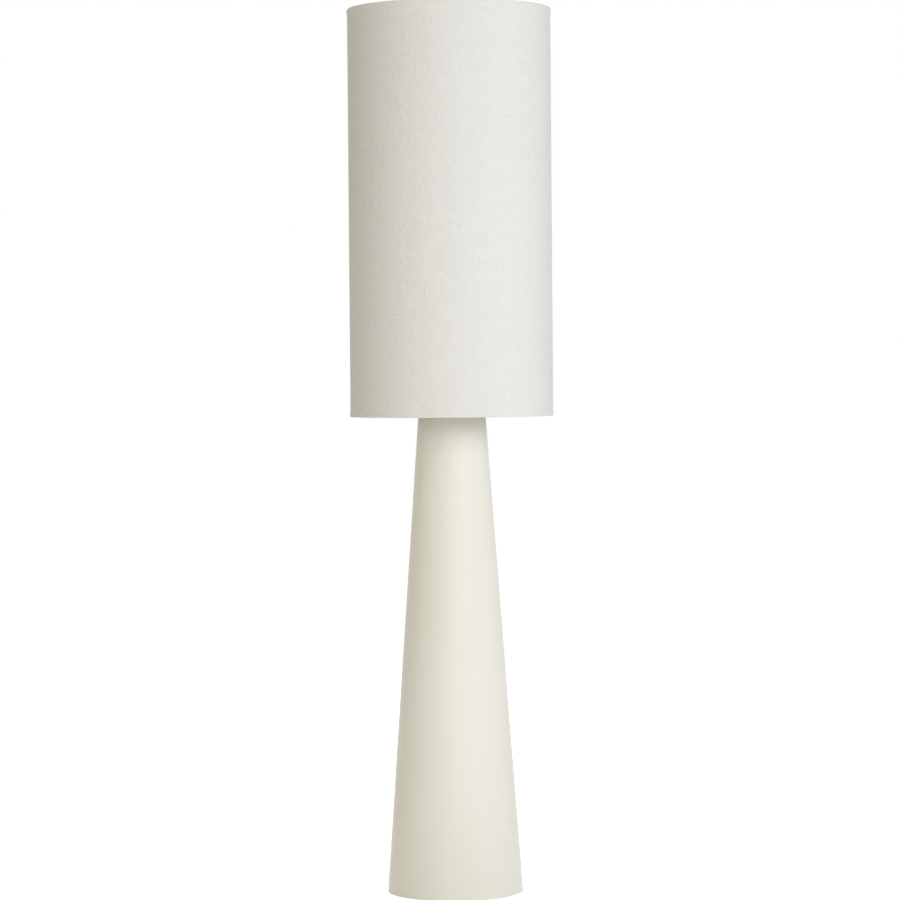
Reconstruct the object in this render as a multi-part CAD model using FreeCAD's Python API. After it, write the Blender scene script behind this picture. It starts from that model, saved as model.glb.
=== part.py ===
"""Column floor lamp with a tall drum shade.

A hollow tapered column stands on a cast weight. A threaded pipe clamps weight, column, top cap,
riser tube, harp saddle and lamp socket into one stack. A wire harp stands in the saddle, and the
shade hangs by its wire spider from the swivel post on top of the harp, under a screwed finial.

Sizes are millimetres. +Z is up and -Y is the front. The origin is on the floor, under the middle
of the foot.
"""
import FreeCAD, Part
import math
import os

Vector = FreeCAD.Vector
ORIGIN = Vector(0, 0, 0)
UP = Vector(0, 0, 1)
BACK = Vector(0, 1, 0)
RIGHT = Vector(1, 0, 0)
FULL_TURN = 360.0
TINY = 1e-6
FULLEST = 0.98             # share of a straight run that its two end arcs may use

# Clearances
GLUE_GAP = 0.05            # between bonded layers
THREAD_GAP = 0.1           # between a thread and its nut or tapped hole
RUNNING_GAP = 0.08         # round a shaft that turns
SLIDE_GAP = 0.3            # round a piece that slides or drops on
SEAT_GAP = 0.05            # under a piece that rests on another body

# Column: a spun cone, open at both ends
COLUMN_FOOT_D = 237.4
COLUMN_TOP_D = 112.9
COLUMN_LENGTH = 870.4
COLUMN_WALL = 1.2
COLUMN_FLOOR_GAP = 1.0     # the felt lifts the rim this far off the floor
COLUMN_EDGE_ROUND = 0.6

# Felt pad and base plate
FELT_T = 2.5
FELT_MARGIN = 10.0         # from the felt's edge to the screw heads
PLATE_T = 2.0
PLATE_GAP = 0.8            # from the plate's edge to the column wall
BASE_SCREWS = 4
BASE_SCREW_D = 4.0
BASE_SCREW_LENGTH = 12.0
BASE_SCREW_HEAD_D = 7.6
BASE_SCREW_HEAD_H = 1.5
SCREW_HOLE_GAP = 0.25      # round a screw in a plain hole

# Cast weight: a rim, a web and a boss, with radial ribs as deep as the boss
WEIGHT_H = 34.0
WEIGHT_RIM_W = 26.0
WEIGHT_WEB_T = 10.0
WEIGHT_BOSS_D = 40.0
WEIGHT_BOSS_H = 8.0        # below the web
WEIGHT_RIBS = 6
WEIGHT_RIB_T = 6.0
WEIGHT_ROUND = 3.0
WEIGHT_WALL_GAP = 0.3      # the tapered side seats in the column

# Threaded centre pipe and its lower nut
PIPE_D = 9.8
PIPE_BORE = 7.6
PIPE_BELOW_NUT = 1.0
NUT_FLATS = 17.0
NUT_H = 6.0
NUT_CHAMFER = 0.8
WASHER_D = 30.0
WASHER_T = 1.5

# Cord bushing low in the back of the column
BUSHING_Z = 17.0
BUSHING_BORE = 8.0
BUSHING_NECK_D = 11.7
BUSHING_NECK_L = 8.0
BUSHING_FLANGE_D = 16.0
BUSHING_FLANGE_T = 1.8
BUSHING_LOCK_D = 12.6
BUSHING_LOCK_L = 1.2
BUSHING_LOCK_GAP = 0.4     # from the wall to the lock
BUSHING_WALL_HOLE_GAP = 0.15
BUSHING_WEIGHT_HOLE_GAP = 0.7

# Top cap, riser collar and riser tube
CAP_T = 3.0
CAP_SPIGOT_H = 8.0
CAP_SPIGOT_WALL = 3.4
CAP_EDGE_ROUND = 1.2
COLLAR_D = 34.0
COLLAR_H = 12.0
COLLAR_FOOT_H = 3.0
COLLAR_NECK_WALL = 2.0
COLLAR_COVE = 5.0
RISER_D = 16.0
RISER_BORE = 13.6
RISER_LENGTH = 318.0
RISER_SOCKET_DEPTH = 5.0   # how deep it stands in the collar

# Harp saddle: a bent strip with two upright tongues
SADDLE_T = 2.0
SADDLE_W = 12.0
SADDLE_BEND = 4.0
SADDLE_SHOULDER_H = 6.0    # shoulder above the strip's underside
TONGUE_W = 5.0
TONGUE_H = 12.0

# Harp: one bent wire with a cup on each foot and a boss on top
HARP_HEIGHT = 305.0        # saddle to wire centre
HARP_LEG_SPACING = 63.0
HARP_WIDTH = 119.0
HARP_WIRE_D = 3.2
HARP_KNEE_H = 45.0         # the legs stand straight up to here
HARP_WAIST_SHARE = 0.58    # height of the widest place, as a share of the harp's
HARP_KNEE_ROUND = 50.0
HARP_WAIST_ROUND = 180.0
HARP_TOP_ROUND = 36.0
HARP_TOP_CORNER = 90.0     # between the corners that the top turns round
HARP_BOSS_D = 13.0
HARP_BOSS_H = 4.4
CUP_D = 8.4
CUP_H = 16.0
CUP_TAPER_H = 3.0
TONGUE_GAP = 0.2

# Sleeve over each harp foot
SLEEVE_WALL = 0.8
SLEEVE_TOP_T = 1.2
SLEEVE_BEAD = 0.6
SLEEVE_BEAD_H = 2.0

# Swivel post on the harp
POST_D = 6.2
POST_HEAD_D = 9.0
POST_HEAD_T = 1.6
POST_FLANGE_D = 16.0
POST_FLANGE_T = 2.5
POST_STUD_H = 16.0
POST_CHAMFER = 0.7

# Spider: a hub washer and three cranked wire arms
SPIDER_ARMS = 3
SPIDER_HUB_D = 25.0
SPIDER_HUB_T = 2.0
SPIDER_HUB_HOLE_GAP = 0.45
SPIDER_WIRE_D = 3.0
SPIDER_DROP = 30.0         # top ring down to hub
SPIDER_FLAT_R = 32.0       # the arms run flat from the hub to here
SPIDER_CRANK_RUN = 22.0
SPIDER_BEND = 14.0

# Shade: cover, lining and two wire rings
SHADE_D = 355.0
SHADE_HEIGHT = 710.0
COVER_T = 0.8
LINING_T = 0.6
RING_WIRE_D = 3.4
RING_GAP = 0.15            # from the wire rings to lining and cover
HEM_H = 9.0
HEM_PROUD = 0.7            # the turned hem stands out this far
HEM_ROUND = 1.3            # the stiff lining makes the fold tight
HEM_NOTCH_GAP = 0.8        # round a spider arm where it passes the hem
SEAM_W = 12.0              # overlap down the back
SEAM_PROUD = 0.5

# Finial and its washer
FINIAL_WASHER_D = 15.0
FINIAL_WASHER_T = 1.0
FINIAL_FOOT_D = 13.0
FINIAL_NECK_D = 8.8
FINIAL_KNOB_D = 15.0
FINIAL_H = 25.0
FINIAL_FOOT_H = 4.0
FINIAL_NECK_H = 7.0
FINIAL_HOLE_DEPTH = 14.5

# Lamp socket
SOCKET_HUB_D = 14.0
SOCKET_HUB_H = 9.0
SOCKET_CAP_D = 35.4
SOCKET_CAP_H = 30.0
SOCKET_CAP_WALL = 0.8
SOCKET_CAP_SHOULDER_Z = 8.0    # where the bell leaves the hub
SOCKET_CAP_RIM_Z = 16.0        # where the bell turns upright
SHELL_D = 33.4
SHELL_WALL = 0.7
SHELL_FOOT = 20.0          # above the saddle
SHELL_TOP = 66.0
SHELL_BEAD = 1.1
SHELL_BEAD_H = 3.0
LINER_WALL = 0.8
LINER_INSET = 1.0          # shorter than the shell at each end
CORE_FOOT = 22.0
CORE_H = 20.0
CORE_FLAT_X = 11.2
CORE_FLAT_H = 10.0
THREAD_SLEEVE_BORE = 26.6
THREAD_SLEEVE_WALL = 0.5
THREAD_SLEEVE_H = 22.0
THREAD_SLEEVE_HOLE_D = 12.0
CONTACT_D = 6.0
CONTACT_H = 2.0
SET_SCREW_D = 3.0
SET_SCREW_HEAD_D = 5.0
SET_SCREW_HEAD_T = 1.5
SET_SCREW_Z = 4.5
TERMINAL_SCREW_D = 3.4
TERMINAL_HEAD_D = 6.4
TERMINAL_HEAD_T = 2.0
TERMINAL_SCREW_L = 6.0
TERMINAL_Z = 5.0           # above the core's foot

# Turn switch in the socket
STEM_D = 4.0
STEM_Z = 33.0              # above the saddle
STEM_HOLE_D = 6.4          # in shell and liner
CAM_D = 9.0
CAM_L = 7.0
CAM_LOBES = 4
CAM_GROOVE_D = 2.4
CAM_CAVITY_GAP = 0.6
KNOB_D = 13.0
KNOB_TIP_D = 11.6
KNOB_L = 18.0
KNOB_FROM_SHELL = 3.5
KNOB_FLUTES = 12
KNOB_FLUTE_D = 2.2
KNOB_ROUND = 1.2
KNOB_BORE_L = 12.0

# Bulb
BULB_CONTACT_D = 9.0
BULB_CONTACT_H = 1.2
BULB_CONTACT_GAP = 0.3
INSULATOR_TOP_D = 22.0
INSULATOR_H = 3.6
BULB_CAP_D = 26.0
BULB_CAP_H = 20.0
BULB_CAP_WALL = 0.6
GLOBE_D = 60.0
GLOBE_H = 86.0
GLOBE_WALL = 1.0
GLOBE_NECK_D = 26.4
GLOBE_NECK_H = 8.0
GLOBE_SHOULDER_H = 46.0

# Levels, from the floor up
PLATE_Z = FELT_T
WEIGHT_Z = PLATE_Z + PLATE_T
WEIGHT_TOP_Z = WEIGHT_Z + WEIGHT_H
WEB_Z = WEIGHT_TOP_Z - WEIGHT_WEB_T
BOSS_Z = WEB_Z - WEIGHT_BOSS_H
NUT_Z = BOSS_Z - WASHER_T - NUT_H
PIPE_Z = NUT_Z - PIPE_BELOW_NUT
COLUMN_TOP_Z = COLUMN_FLOOR_GAP + COLUMN_LENGTH
COLLAR_Z = COLUMN_TOP_Z + CAP_T
RISER_Z = COLLAR_Z + COLLAR_H - RISER_SOCKET_DEPTH
SADDLE_Z = RISER_Z + RISER_LENGTH
SOCKET_Z = SADDLE_Z + SADDLE_T
SHOULDER_Z = SADDLE_Z + SADDLE_SHOULDER_H
HARP_FOOT_Z = SHOULDER_Z + SEAT_GAP
HARP_TOP_Z = SOCKET_Z + HARP_HEIGHT
POST_FLANGE_Z = HARP_TOP_Z + HARP_BOSS_H / 2 + RUNNING_GAP
HUB_Z = POST_FLANGE_Z + POST_FLANGE_T + SEAT_GAP
FINIAL_WASHER_Z = HUB_Z + SPIDER_HUB_T + SEAT_GAP
FINIAL_Z = FINIAL_WASHER_Z + FINIAL_WASHER_T + SEAT_GAP
TOP_RING_Z = HUB_Z + SPIDER_HUB_T / 2 + SPIDER_DROP
SHADE_TOP_Z = TOP_RING_Z + RING_WIRE_D / 2 + RING_GAP + COVER_T
SHADE_FOOT_Z = SHADE_TOP_Z - SHADE_HEIGHT
BOTTOM_RING_Z = SHADE_FOOT_Z + RING_WIRE_D / 2 + RING_GAP + COVER_T
CORE_Z = SOCKET_Z + CORE_FOOT
CORE_TOP_Z = CORE_Z + CORE_H
CONTACT_TOP_Z = CORE_TOP_Z + CONTACT_H
BULB_Z = CONTACT_TOP_Z + BULB_CONTACT_GAP
INSULATOR_Z = BULB_Z + BULB_CONTACT_H + SEAT_GAP
BULB_CAP_Z = INSULATOR_Z + INSULATOR_H
GLOBE_Z = BULB_CAP_Z + BULB_CAP_H

# Radii that several pieces share
PIPE_R = PIPE_D / 2
PIPE_HOLE_R = PIPE_R + THREAD_GAP
LINING_R = SHADE_D / 2 - COVER_T - GLUE_GAP
RING_R = LINING_R - LINING_T - RING_GAP - RING_WIRE_D / 2
HEM_INSIDE_R = RING_R - RING_WIRE_D / 2 - RING_GAP - COVER_T
SLEEVE_BORE_R = CUP_D / 2 + SLIDE_GAP
LINER_R = SHELL_D / 2 - SHELL_WALL - GLUE_GAP
CORE_R = LINER_R - LINER_WALL - THREAD_GAP
STEM_RUN_R = STEM_D / 2 + RUNNING_GAP
BUSHING_HOLE_R = BUSHING_NECK_D / 2 + BUSHING_WALL_HOLE_GAP
COLUMN_SLOPE = (COLUMN_FOOT_D - COLUMN_TOP_D) / 2 / COLUMN_LENGTH


def column_radius(z):
    """Outside radius of the column at a height above the floor."""
    return COLUMN_FOOT_D / 2 - COLUMN_SLOPE * (z - COLUMN_FLOOR_GAP)


PLATE_R = column_radius(PLATE_Z) - COLUMN_WALL - PLATE_GAP
BASE_SCREW_R = PLATE_R - WEIGHT_RIM_W / 2
FELT_R = BASE_SCREW_R - BASE_SCREW_HEAD_D / 2 - FELT_MARGIN


# ---- Drawing helpers ------------------------------------------------------------------------


def rounded_wire(corners, closed=True):
    """Wire in the XZ plane through corners (x, z) or (x, z, radius).

    A tangent arc turns each corner that has a radius. Where two arcs would meet on a run that is
    too short for them, both shrink until they fit.
    """
    count = len(corners)
    points = [Vector(corner[0], 0, corner[1]) for corner in corners]
    runs = [(points[(i + 1) % count] - points[i]).Length for i in range(count)]
    halves = []
    reaches = []
    for i, corner in enumerate(corners):
        half = (points[i - 1] - points[i]).getAngle(points[(i + 1) % count] - points[i]) / 2
        halves.append(half)
        reaches.append(corner[2] / math.tan(half) if len(corner) == 3 else 0.0)
    shrinks = [max(1.0, (reaches[i] + reaches[(i + 1) % count]) / (FULLEST * runs[i])) for i in range(count)]
    turns = []
    for i, point in enumerate(points):
        reach = reaches[i] / max(shrinks[i - 1], shrinks[i])
        back = (points[i - 1] - point).normalize()
        onward = (points[(i + 1) % count] - point).normalize()
        middle = None
        if reach > TINY:
            radius = reach * math.tan(halves[i])
            middle = point + (back + onward).normalize() * (radius / math.sin(halves[i]) - radius)
        turns.append((point + back * reach, middle, point + onward * reach))
    edges = []
    for i, (start, middle, end) in enumerate(turns):
        if middle is not None:
            edges.append(Part.Arc(start, middle, end).toShape())
        if closed or i + 1 < count:
            edges.append(Part.makeLine(end, turns[(i + 1) % count][0]))
    return Part.Wire(edges)


def sheet(corners, wall):
    """Corners of a closed outline: an open path, and the path one wall to its left, walked back."""
    steps = []
    for (x0, z0, *_), (x1, z1, *_) in zip(corners, corners[1:]):
        length = math.hypot(x1 - x0, z1 - z0)
        steps.append(((x1 - x0) / length, (z1 - z0) / length))
    inside = []
    for i, (x, z, *radius) in enumerate(corners):
        (ax, az), (bx, bz) = steps[max(i - 1, 0)], steps[min(i, len(steps) - 1)]
        share = wall / (1 + ax * bx + az * bz)
        left_turn = ax * bz - az * bx > 0
        bend = [max(radius[0] + (-wall if left_turn else wall), 0.0)] if radius else []
        inside.append((x - (az + bz) * share, z + (ax + bx) * share, *bend))
    return list(corners) + inside[::-1]


def turned(corners, degrees=FULL_TURN):
    """Solid turned about the Z axis from a closed outline of (radius, z) corners."""
    return Part.Face(rounded_wire(corners)).revolve(ORIGIN, UP, degrees)


def rod(radius, start, end):
    """Cylinder from one point to another."""
    return Part.makeCylinder(radius, (end - start).Length, start, end - start)


def ring(outer_r, inner_r, z, height):
    """Flat ring or short tube standing at height z."""
    body = Part.makeCylinder(outer_r, height, Vector(0, 0, z))
    return body.cut(Part.makeCylinder(inner_r, height, Vector(0, 0, z)))


def wire_sweep(corners, diameter):
    """Round wire bent along open corners in the XZ plane."""
    (x0, z0, *_), (x1, z1, *_) = corners[0], corners[1]
    section = Part.makeCircle(diameter / 2, Vector(x0, 0, z0), Vector(x1 - x0, 0, z1 - z0))
    return rounded_wire(corners, closed=False).makePipeShell([Part.Wire(section)], True, False)


def round_about(shape, count, first=0.0):
    """Copies of a shape, evenly spaced about the Z axis."""
    copies = []
    for i in range(count):
        copy = shape.copy()
        copy.rotate(ORIGIN, UP, first + i * FULL_TURN / count)
        copies.append(copy)
    return copies


def box_between(low, high):
    """Box between two corners."""
    size = high - low
    return Part.makeBox(size.x, size.y, size.z, low)


# ---- Foot -----------------------------------------------------------------------------------


def felt_pad():
    """Felt disc that the lamp stands on."""
    return Part.makeCylinder(FELT_R, FELT_T)


def base_screw_circle(shape):
    """Copies of a screw or screw hole on the base plate's screw circle, between the ribs."""
    shape.translate(Vector(BASE_SCREW_R, 0, 0))
    return round_about(shape, BASE_SCREWS, FULL_TURN / BASE_SCREWS / 2)


def base_plate():
    """Steel disc that closes the foot."""
    plate = Part.makeCylinder(PLATE_R, PLATE_T, Vector(0, 0, PLATE_Z))
    hole = Part.makeCylinder(BASE_SCREW_D / 2 + SCREW_HOLE_GAP, PLATE_T, Vector(0, 0, PLATE_Z))
    return plate.cut(base_screw_circle(hole))


def base_screws():
    """Pan-head screws from under the plate into the weight's rim."""
    head_r = BASE_SCREW_HEAD_D / 2
    shank_r = BASE_SCREW_D / 2
    foot_z = PLATE_Z - BASE_SCREW_HEAD_H
    screw = turned([
        (0, foot_z),
        (head_r, foot_z, BASE_SCREW_HEAD_H * 0.8),
        (head_r, PLATE_Z),
        (shank_r, PLATE_Z),
        (shank_r, PLATE_Z + BASE_SCREW_LENGTH),
        (0, PLATE_Z + BASE_SCREW_LENGTH),
    ])
    return Part.makeCompound(base_screw_circle(screw))


def base_weight():
    """Ribbed casting whose tapered side seats in the column."""
    rim_r = column_radius(WEIGHT_Z) - COLUMN_WALL - WEIGHT_WALL_GAP
    top_r = column_radius(WEIGHT_TOP_Z) - COLUMN_WALL - WEIGHT_WALL_GAP
    rim_inside = rim_r - WEIGHT_RIM_W
    boss_r = WEIGHT_BOSS_D / 2
    casting = turned([
        (PIPE_HOLE_R, WEIGHT_TOP_Z),
        (top_r, WEIGHT_TOP_Z, WEIGHT_ROUND / 2),
        (rim_r, WEIGHT_Z),
        (rim_inside, WEIGHT_Z),
        (rim_inside, WEB_Z, WEIGHT_ROUND),
        (boss_r, WEB_Z, WEIGHT_ROUND),
        (boss_r, BOSS_Z),
        (PIPE_HOLE_R, BOSS_Z),
    ])
    rib = box_between(
        Vector(boss_r - WEIGHT_ROUND, -WEIGHT_RIB_T / 2, BOSS_Z),
        Vector(rim_inside + WEIGHT_ROUND, WEIGHT_RIB_T / 2, WEB_Z + WEIGHT_ROUND),
    )
    tapped = Part.makeCylinder(BASE_SCREW_D / 2 + GLUE_GAP, BASE_SCREW_LENGTH, Vector(0, 0, WEIGHT_Z))
    cord_hole = on_back_wall(Part.makeCylinder(
        BUSHING_LOCK_D / 2 + BUSHING_WEIGHT_HOLE_GAP, 2 * WEIGHT_RIM_W, Vector(0, 0, -2 * WEIGHT_RIM_W)))
    holes = [*base_screw_circle(tapped), cord_hole]
    return casting.fuse(round_about(rib, WEIGHT_RIBS)).cut(holes).removeSplitter()


def bottom_washer():
    """Plain washer between the weight's boss and the nut."""
    return ring(WASHER_D / 2, PIPE_HOLE_R, BOSS_Z - WASHER_T, WASHER_T)


def bottom_nut():
    """Hexagon nut that clamps the whole stack on the pipe."""
    corner_r = NUT_FLATS / 2 / math.cos(math.pi / 6)
    rim_r = NUT_FLATS / 2
    top_z = NUT_Z + NUT_H
    corners = [Vector(corner_r * math.cos(k * math.pi / 3), corner_r * math.sin(k * math.pi / 3), NUT_Z)
               for k in range(7)]
    hexagon = Part.Face(Part.makePolygon(corners)).extrude(Vector(0, 0, NUT_H))
    blank = turned([
        (PIPE_HOLE_R, NUT_Z),
        (rim_r, NUT_Z),
        (corner_r, NUT_Z + NUT_CHAMFER),
        (corner_r, top_z - NUT_CHAMFER),
        (rim_r, top_z),
        (PIPE_HOLE_R, top_z),
    ])
    return hexagon.common(blank)


def centre_pipe():
    """Threaded pipe from under the weight to inside the socket's hub."""
    return ring(PIPE_R, PIPE_BORE / 2, PIPE_Z, SOCKET_Z + SOCKET_HUB_H - PIPE_Z)


# ---- Column ---------------------------------------------------------------------------------


def on_back_wall(shape):
    """Moves a shape drawn along +Z so that it points straight out of the column's back wall."""
    lean = math.degrees(math.atan(COLUMN_SLOPE))
    shape.rotate(ORIGIN, RIGHT, lean - 90)
    shape.translate(Vector(0, column_radius(BUSHING_Z), BUSHING_Z))
    return shape


def column_shell():
    """Tapered column with a hole for the cord bushing."""
    foot_r = COLUMN_FOOT_D / 2
    top_r = COLUMN_TOP_D / 2
    wall = turned([
        (foot_r, COLUMN_FLOOR_GAP, COLUMN_EDGE_ROUND),
        (top_r, COLUMN_TOP_Z, COLUMN_EDGE_ROUND),
        (top_r - COLUMN_WALL, COLUMN_TOP_Z),
        (foot_r - COLUMN_WALL, COLUMN_FLOOR_GAP),
    ])
    hole = Part.makeCylinder(BUSHING_HOLE_R, 4 * COLUMN_WALL, Vector(0, 0, -2 * COLUMN_WALL))
    return wall.cut(on_back_wall(hole))


def cord_bushing():
    """Snap-in bushing with a rounded mouth, which the cord would leave through."""
    bore_r = BUSHING_BORE / 2
    neck_r = BUSHING_NECK_D / 2
    lock_z = -COLUMN_WALL - BUSHING_LOCK_GAP
    body = turned([
        (bore_r, BUSHING_FLANGE_T),
        (BUSHING_FLANGE_D / 2, BUSHING_FLANGE_T, BUSHING_FLANGE_T / 2),
        (BUSHING_FLANGE_D / 2, SEAT_GAP),
        (neck_r, SEAT_GAP),
        (neck_r, lock_z),
        (BUSHING_LOCK_D / 2, lock_z),
        (neck_r, lock_z - BUSHING_LOCK_L),
        (neck_r, -BUSHING_NECK_L),
        (bore_r, -BUSHING_NECK_L),
    ])
    return on_back_wall(body)


def top_cap():
    """Disc that closes the column's top, with a spigot inside the wall."""
    spigot_r = COLUMN_TOP_D / 2 - COLUMN_WALL - SLIDE_GAP
    spigot_z = COLUMN_TOP_Z - CAP_SPIGOT_H
    return turned([
        (PIPE_HOLE_R, COLLAR_Z),
        (COLUMN_TOP_D / 2, COLLAR_Z, CAP_EDGE_ROUND),
        (COLUMN_TOP_D / 2, COLUMN_TOP_Z),
        (spigot_r, COLUMN_TOP_Z),
        (spigot_r, spigot_z),
        (spigot_r - CAP_SPIGOT_WALL, spigot_z),
        (spigot_r - CAP_SPIGOT_WALL, COLUMN_TOP_Z),
        (PIPE_HOLE_R, COLUMN_TOP_Z),
    ])


# ---- Riser ----------------------------------------------------------------------------------


def riser_collar():
    """Turned collar with a cove, which the riser tube stands in."""
    seat_r = RISER_D / 2 + THREAD_GAP
    neck_r = seat_r + COLLAR_NECK_WALL
    top_z = COLLAR_Z + COLLAR_H
    return turned([
        (PIPE_HOLE_R, COLLAR_Z),
        (COLLAR_D / 2, COLLAR_Z),
        (COLLAR_D / 2, COLLAR_Z + COLLAR_FOOT_H, COLLAR_FOOT_H / 3),
        (neck_r, COLLAR_Z + COLLAR_FOOT_H, COLLAR_COVE),
        (neck_r, top_z, COLLAR_NECK_WALL / 3),
        (seat_r, top_z),
        (seat_r, RISER_Z),
        (PIPE_HOLE_R, RISER_Z),
    ])


def riser_tube():
    """Plain tube over the pipe, from the collar to the harp saddle."""
    return ring(RISER_D / 2, RISER_BORE / 2, RISER_Z, RISER_LENGTH)


# ---- Harp -----------------------------------------------------------------------------------


def both_sides(shape):
    """A shape and its copy on the other side of the YZ plane."""
    return [shape, shape.mirror(ORIGIN, RIGHT)]


def harp_saddle():
    """Bent strip under the socket, with a narrow tongue for each harp foot."""
    outside_x = HARP_LEG_SPACING / 2 + SADDLE_T / 2
    tongue_z = SHOULDER_Z + TONGUE_H
    strip = Part.Face(rounded_wire(sheet([
        (-outside_x, tongue_z),
        (-outside_x, SADDLE_Z, SADDLE_BEND),
        (outside_x, SADDLE_Z, SADDLE_BEND),
        (outside_x, tongue_z),
    ], SADDLE_T))).extrude(Vector(0, SADDLE_W, 0))
    strip.translate(Vector(0, -SADDLE_W / 2, 0))
    waste = box_between(Vector(-2 * outside_x, TONGUE_W / 2, SHOULDER_Z),
                        Vector(2 * outside_x, SADDLE_W, tongue_z + SADDLE_T))
    hole = Part.makeCylinder(PIPE_HOLE_R, SADDLE_T, Vector(0, 0, SADDLE_Z))
    return strip.cut([waste, waste.mirror(ORIGIN, BACK), hole])


def harp_path():
    """Corners of the harp's wire, from foot to foot."""
    leg_x = HARP_LEG_SPACING / 2
    right = [
        (leg_x, HARP_FOOT_Z + CUP_H - CUP_TAPER_H),
        (leg_x, SHOULDER_Z + HARP_KNEE_H, HARP_KNEE_ROUND),
        (HARP_WIDTH / 2, SOCKET_Z + HARP_HEIGHT * HARP_WAIST_SHARE, HARP_WAIST_ROUND),
        (HARP_TOP_CORNER / 2, HARP_TOP_Z, HARP_TOP_ROUND),
    ]
    return right + [(-x, *rest) for x, *rest in right[::-1]]


def harp_foot():
    """Cup on the right foot, slotted from its outer side to take the tongue."""
    cup = turned([
        (0, HARP_FOOT_Z),
        (CUP_D / 2, HARP_FOOT_Z),
        (CUP_D / 2, HARP_FOOT_Z + CUP_H - CUP_TAPER_H),
        (HARP_WIRE_D / 2, HARP_FOOT_Z + CUP_H),
        (0, HARP_FOOT_Z + CUP_H),
    ])
    half_slot = TONGUE_W / 2 + TONGUE_GAP
    slot = box_between(Vector(-SADDLE_T / 2 - TONGUE_GAP, -half_slot, HARP_FOOT_Z),
                       Vector(CUP_D, half_slot, SHOULDER_Z + TONGUE_H + TONGUE_GAP))
    foot = cup.cut(slot)
    foot.translate(Vector(HARP_LEG_SPACING / 2, 0, 0))
    return foot


def harp():
    """Bent wire with a slotted cup on each foot and a flat boss on top."""
    boss = ring(HARP_BOSS_D / 2, POST_D / 2 + RUNNING_GAP, HARP_TOP_Z - HARP_BOSS_H / 2, HARP_BOSS_H)
    bore = Part.makeCylinder(HARP_BOSS_D / 2, HARP_BOSS_H, Vector(0, 0, HARP_TOP_Z - HARP_BOSS_H / 2))
    wire = wire_sweep(harp_path(), HARP_WIRE_D).cut(bore)
    return wire.fuse([*both_sides(harp_foot()), boss]).removeSplitter()


def harp_sleeve(side):
    """Sleeve that locks a harp foot on its tongue, and slides up the leg to free it."""
    foot_z = SHOULDER_Z + SLIDE_GAP
    roof_z = SHOULDER_Z + CUP_H + SLIDE_GAP
    outside_r = SLEEVE_BORE_R + SLEEVE_WALL
    sleeve = turned([
        (SLEEVE_BORE_R, foot_z),
        (outside_r + SLEEVE_BEAD, foot_z),
        (outside_r + SLEEVE_BEAD, foot_z + SLEEVE_BEAD_H, SLEEVE_BEAD / 2),
        (outside_r, foot_z + SLEEVE_BEAD_H),
        (outside_r, roof_z + SLEEVE_TOP_T, SLEEVE_TOP_T / 2),
        (HARP_WIRE_D / 2 + SLIDE_GAP, roof_z + SLEEVE_TOP_T),
        (HARP_WIRE_D / 2 + SLIDE_GAP, roof_z),
        (SLEEVE_BORE_R, roof_z),
    ])
    sleeve.translate(Vector(side * HARP_LEG_SPACING / 2, 0, 0))
    return sleeve


def harp_post():
    """Swivel post riveted through the harp's boss: head, shank, seat flange and threaded stud."""
    head_top = HARP_TOP_Z - HARP_BOSS_H / 2 - RUNNING_GAP
    flange_top = POST_FLANGE_Z + POST_FLANGE_T
    post_r = POST_D / 2
    return turned([
        (0, head_top - POST_HEAD_T),
        (POST_HEAD_D / 2, head_top - POST_HEAD_T, POST_HEAD_T * 0.6),
        (POST_HEAD_D / 2, head_top),
        (post_r, head_top),
        (post_r, POST_FLANGE_Z),
        (POST_FLANGE_D / 2, POST_FLANGE_Z),
        (POST_FLANGE_D / 2, flange_top),
        (post_r, flange_top),
        (post_r, flange_top + POST_STUD_H - POST_CHAMFER),
        (post_r - POST_CHAMFER, flange_top + POST_STUD_H),
        (0, flange_top + POST_STUD_H),
    ])


# ---- Shade ----------------------------------------------------------------------------------


def shade_ring(z):
    """Wire ring inside the shade at height z."""
    return Part.makeTorus(RING_R, RING_WIRE_D / 2, Vector(0, 0, z))


def spider():
    """Hub washer with cranked arms that end against the top ring."""
    hub_middle = HUB_Z + SPIDER_HUB_T / 2
    hub_hole = POST_D / 2 + SPIDER_HUB_HOLE_GAP
    arm = wire_sweep([
        (SPIDER_HUB_D / 2 - SPIDER_WIRE_D, hub_middle),
        (SPIDER_FLAT_R, hub_middle, SPIDER_BEND),
        (SPIDER_FLAT_R + SPIDER_CRANK_RUN, TOP_RING_Z, SPIDER_BEND),
        (RING_R, TOP_RING_Z),
    ], SPIDER_WIRE_D)
    hub = ring(SPIDER_HUB_D / 2, hub_hole, HUB_Z, SPIDER_HUB_T)
    arms = round_about(arm, SPIDER_ARMS, FULL_TURN / 4)
    return hub.fuse(arms).cut(Part.makeTorus(RING_R, RING_WIRE_D / 2 + GLUE_GAP, Vector(0, 0, TOP_RING_Z)))


def shade_lining():
    """Stiff translucent lining that keeps the drum round."""
    foot_z = SHADE_FOOT_Z + COVER_T + GLUE_GAP
    return ring(LINING_R, LINING_R - LINING_T, foot_z, SHADE_TOP_Z - COVER_T - GLUE_GAP - foot_z)


def arm_notch():
    """Cutter for a spider arm's notch in the top hem's inner fold, open at the fold's edge."""
    half = SPIDER_WIRE_D / 2 + HEM_NOTCH_GAP
    inside_x = HEM_INSIDE_R - COVER_T
    outside_x = HEM_INSIDE_R + COVER_T + GLUE_GAP
    arch = rod(half, Vector(inside_x, 0, TOP_RING_Z), Vector(outside_x, 0, TOP_RING_Z))
    slot = box_between(Vector(inside_x, -half, SHADE_TOP_Z - HEM_H - COVER_T),
                       Vector(outside_x, half, TOP_RING_Z))
    return arch.fuse(slot)


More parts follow.
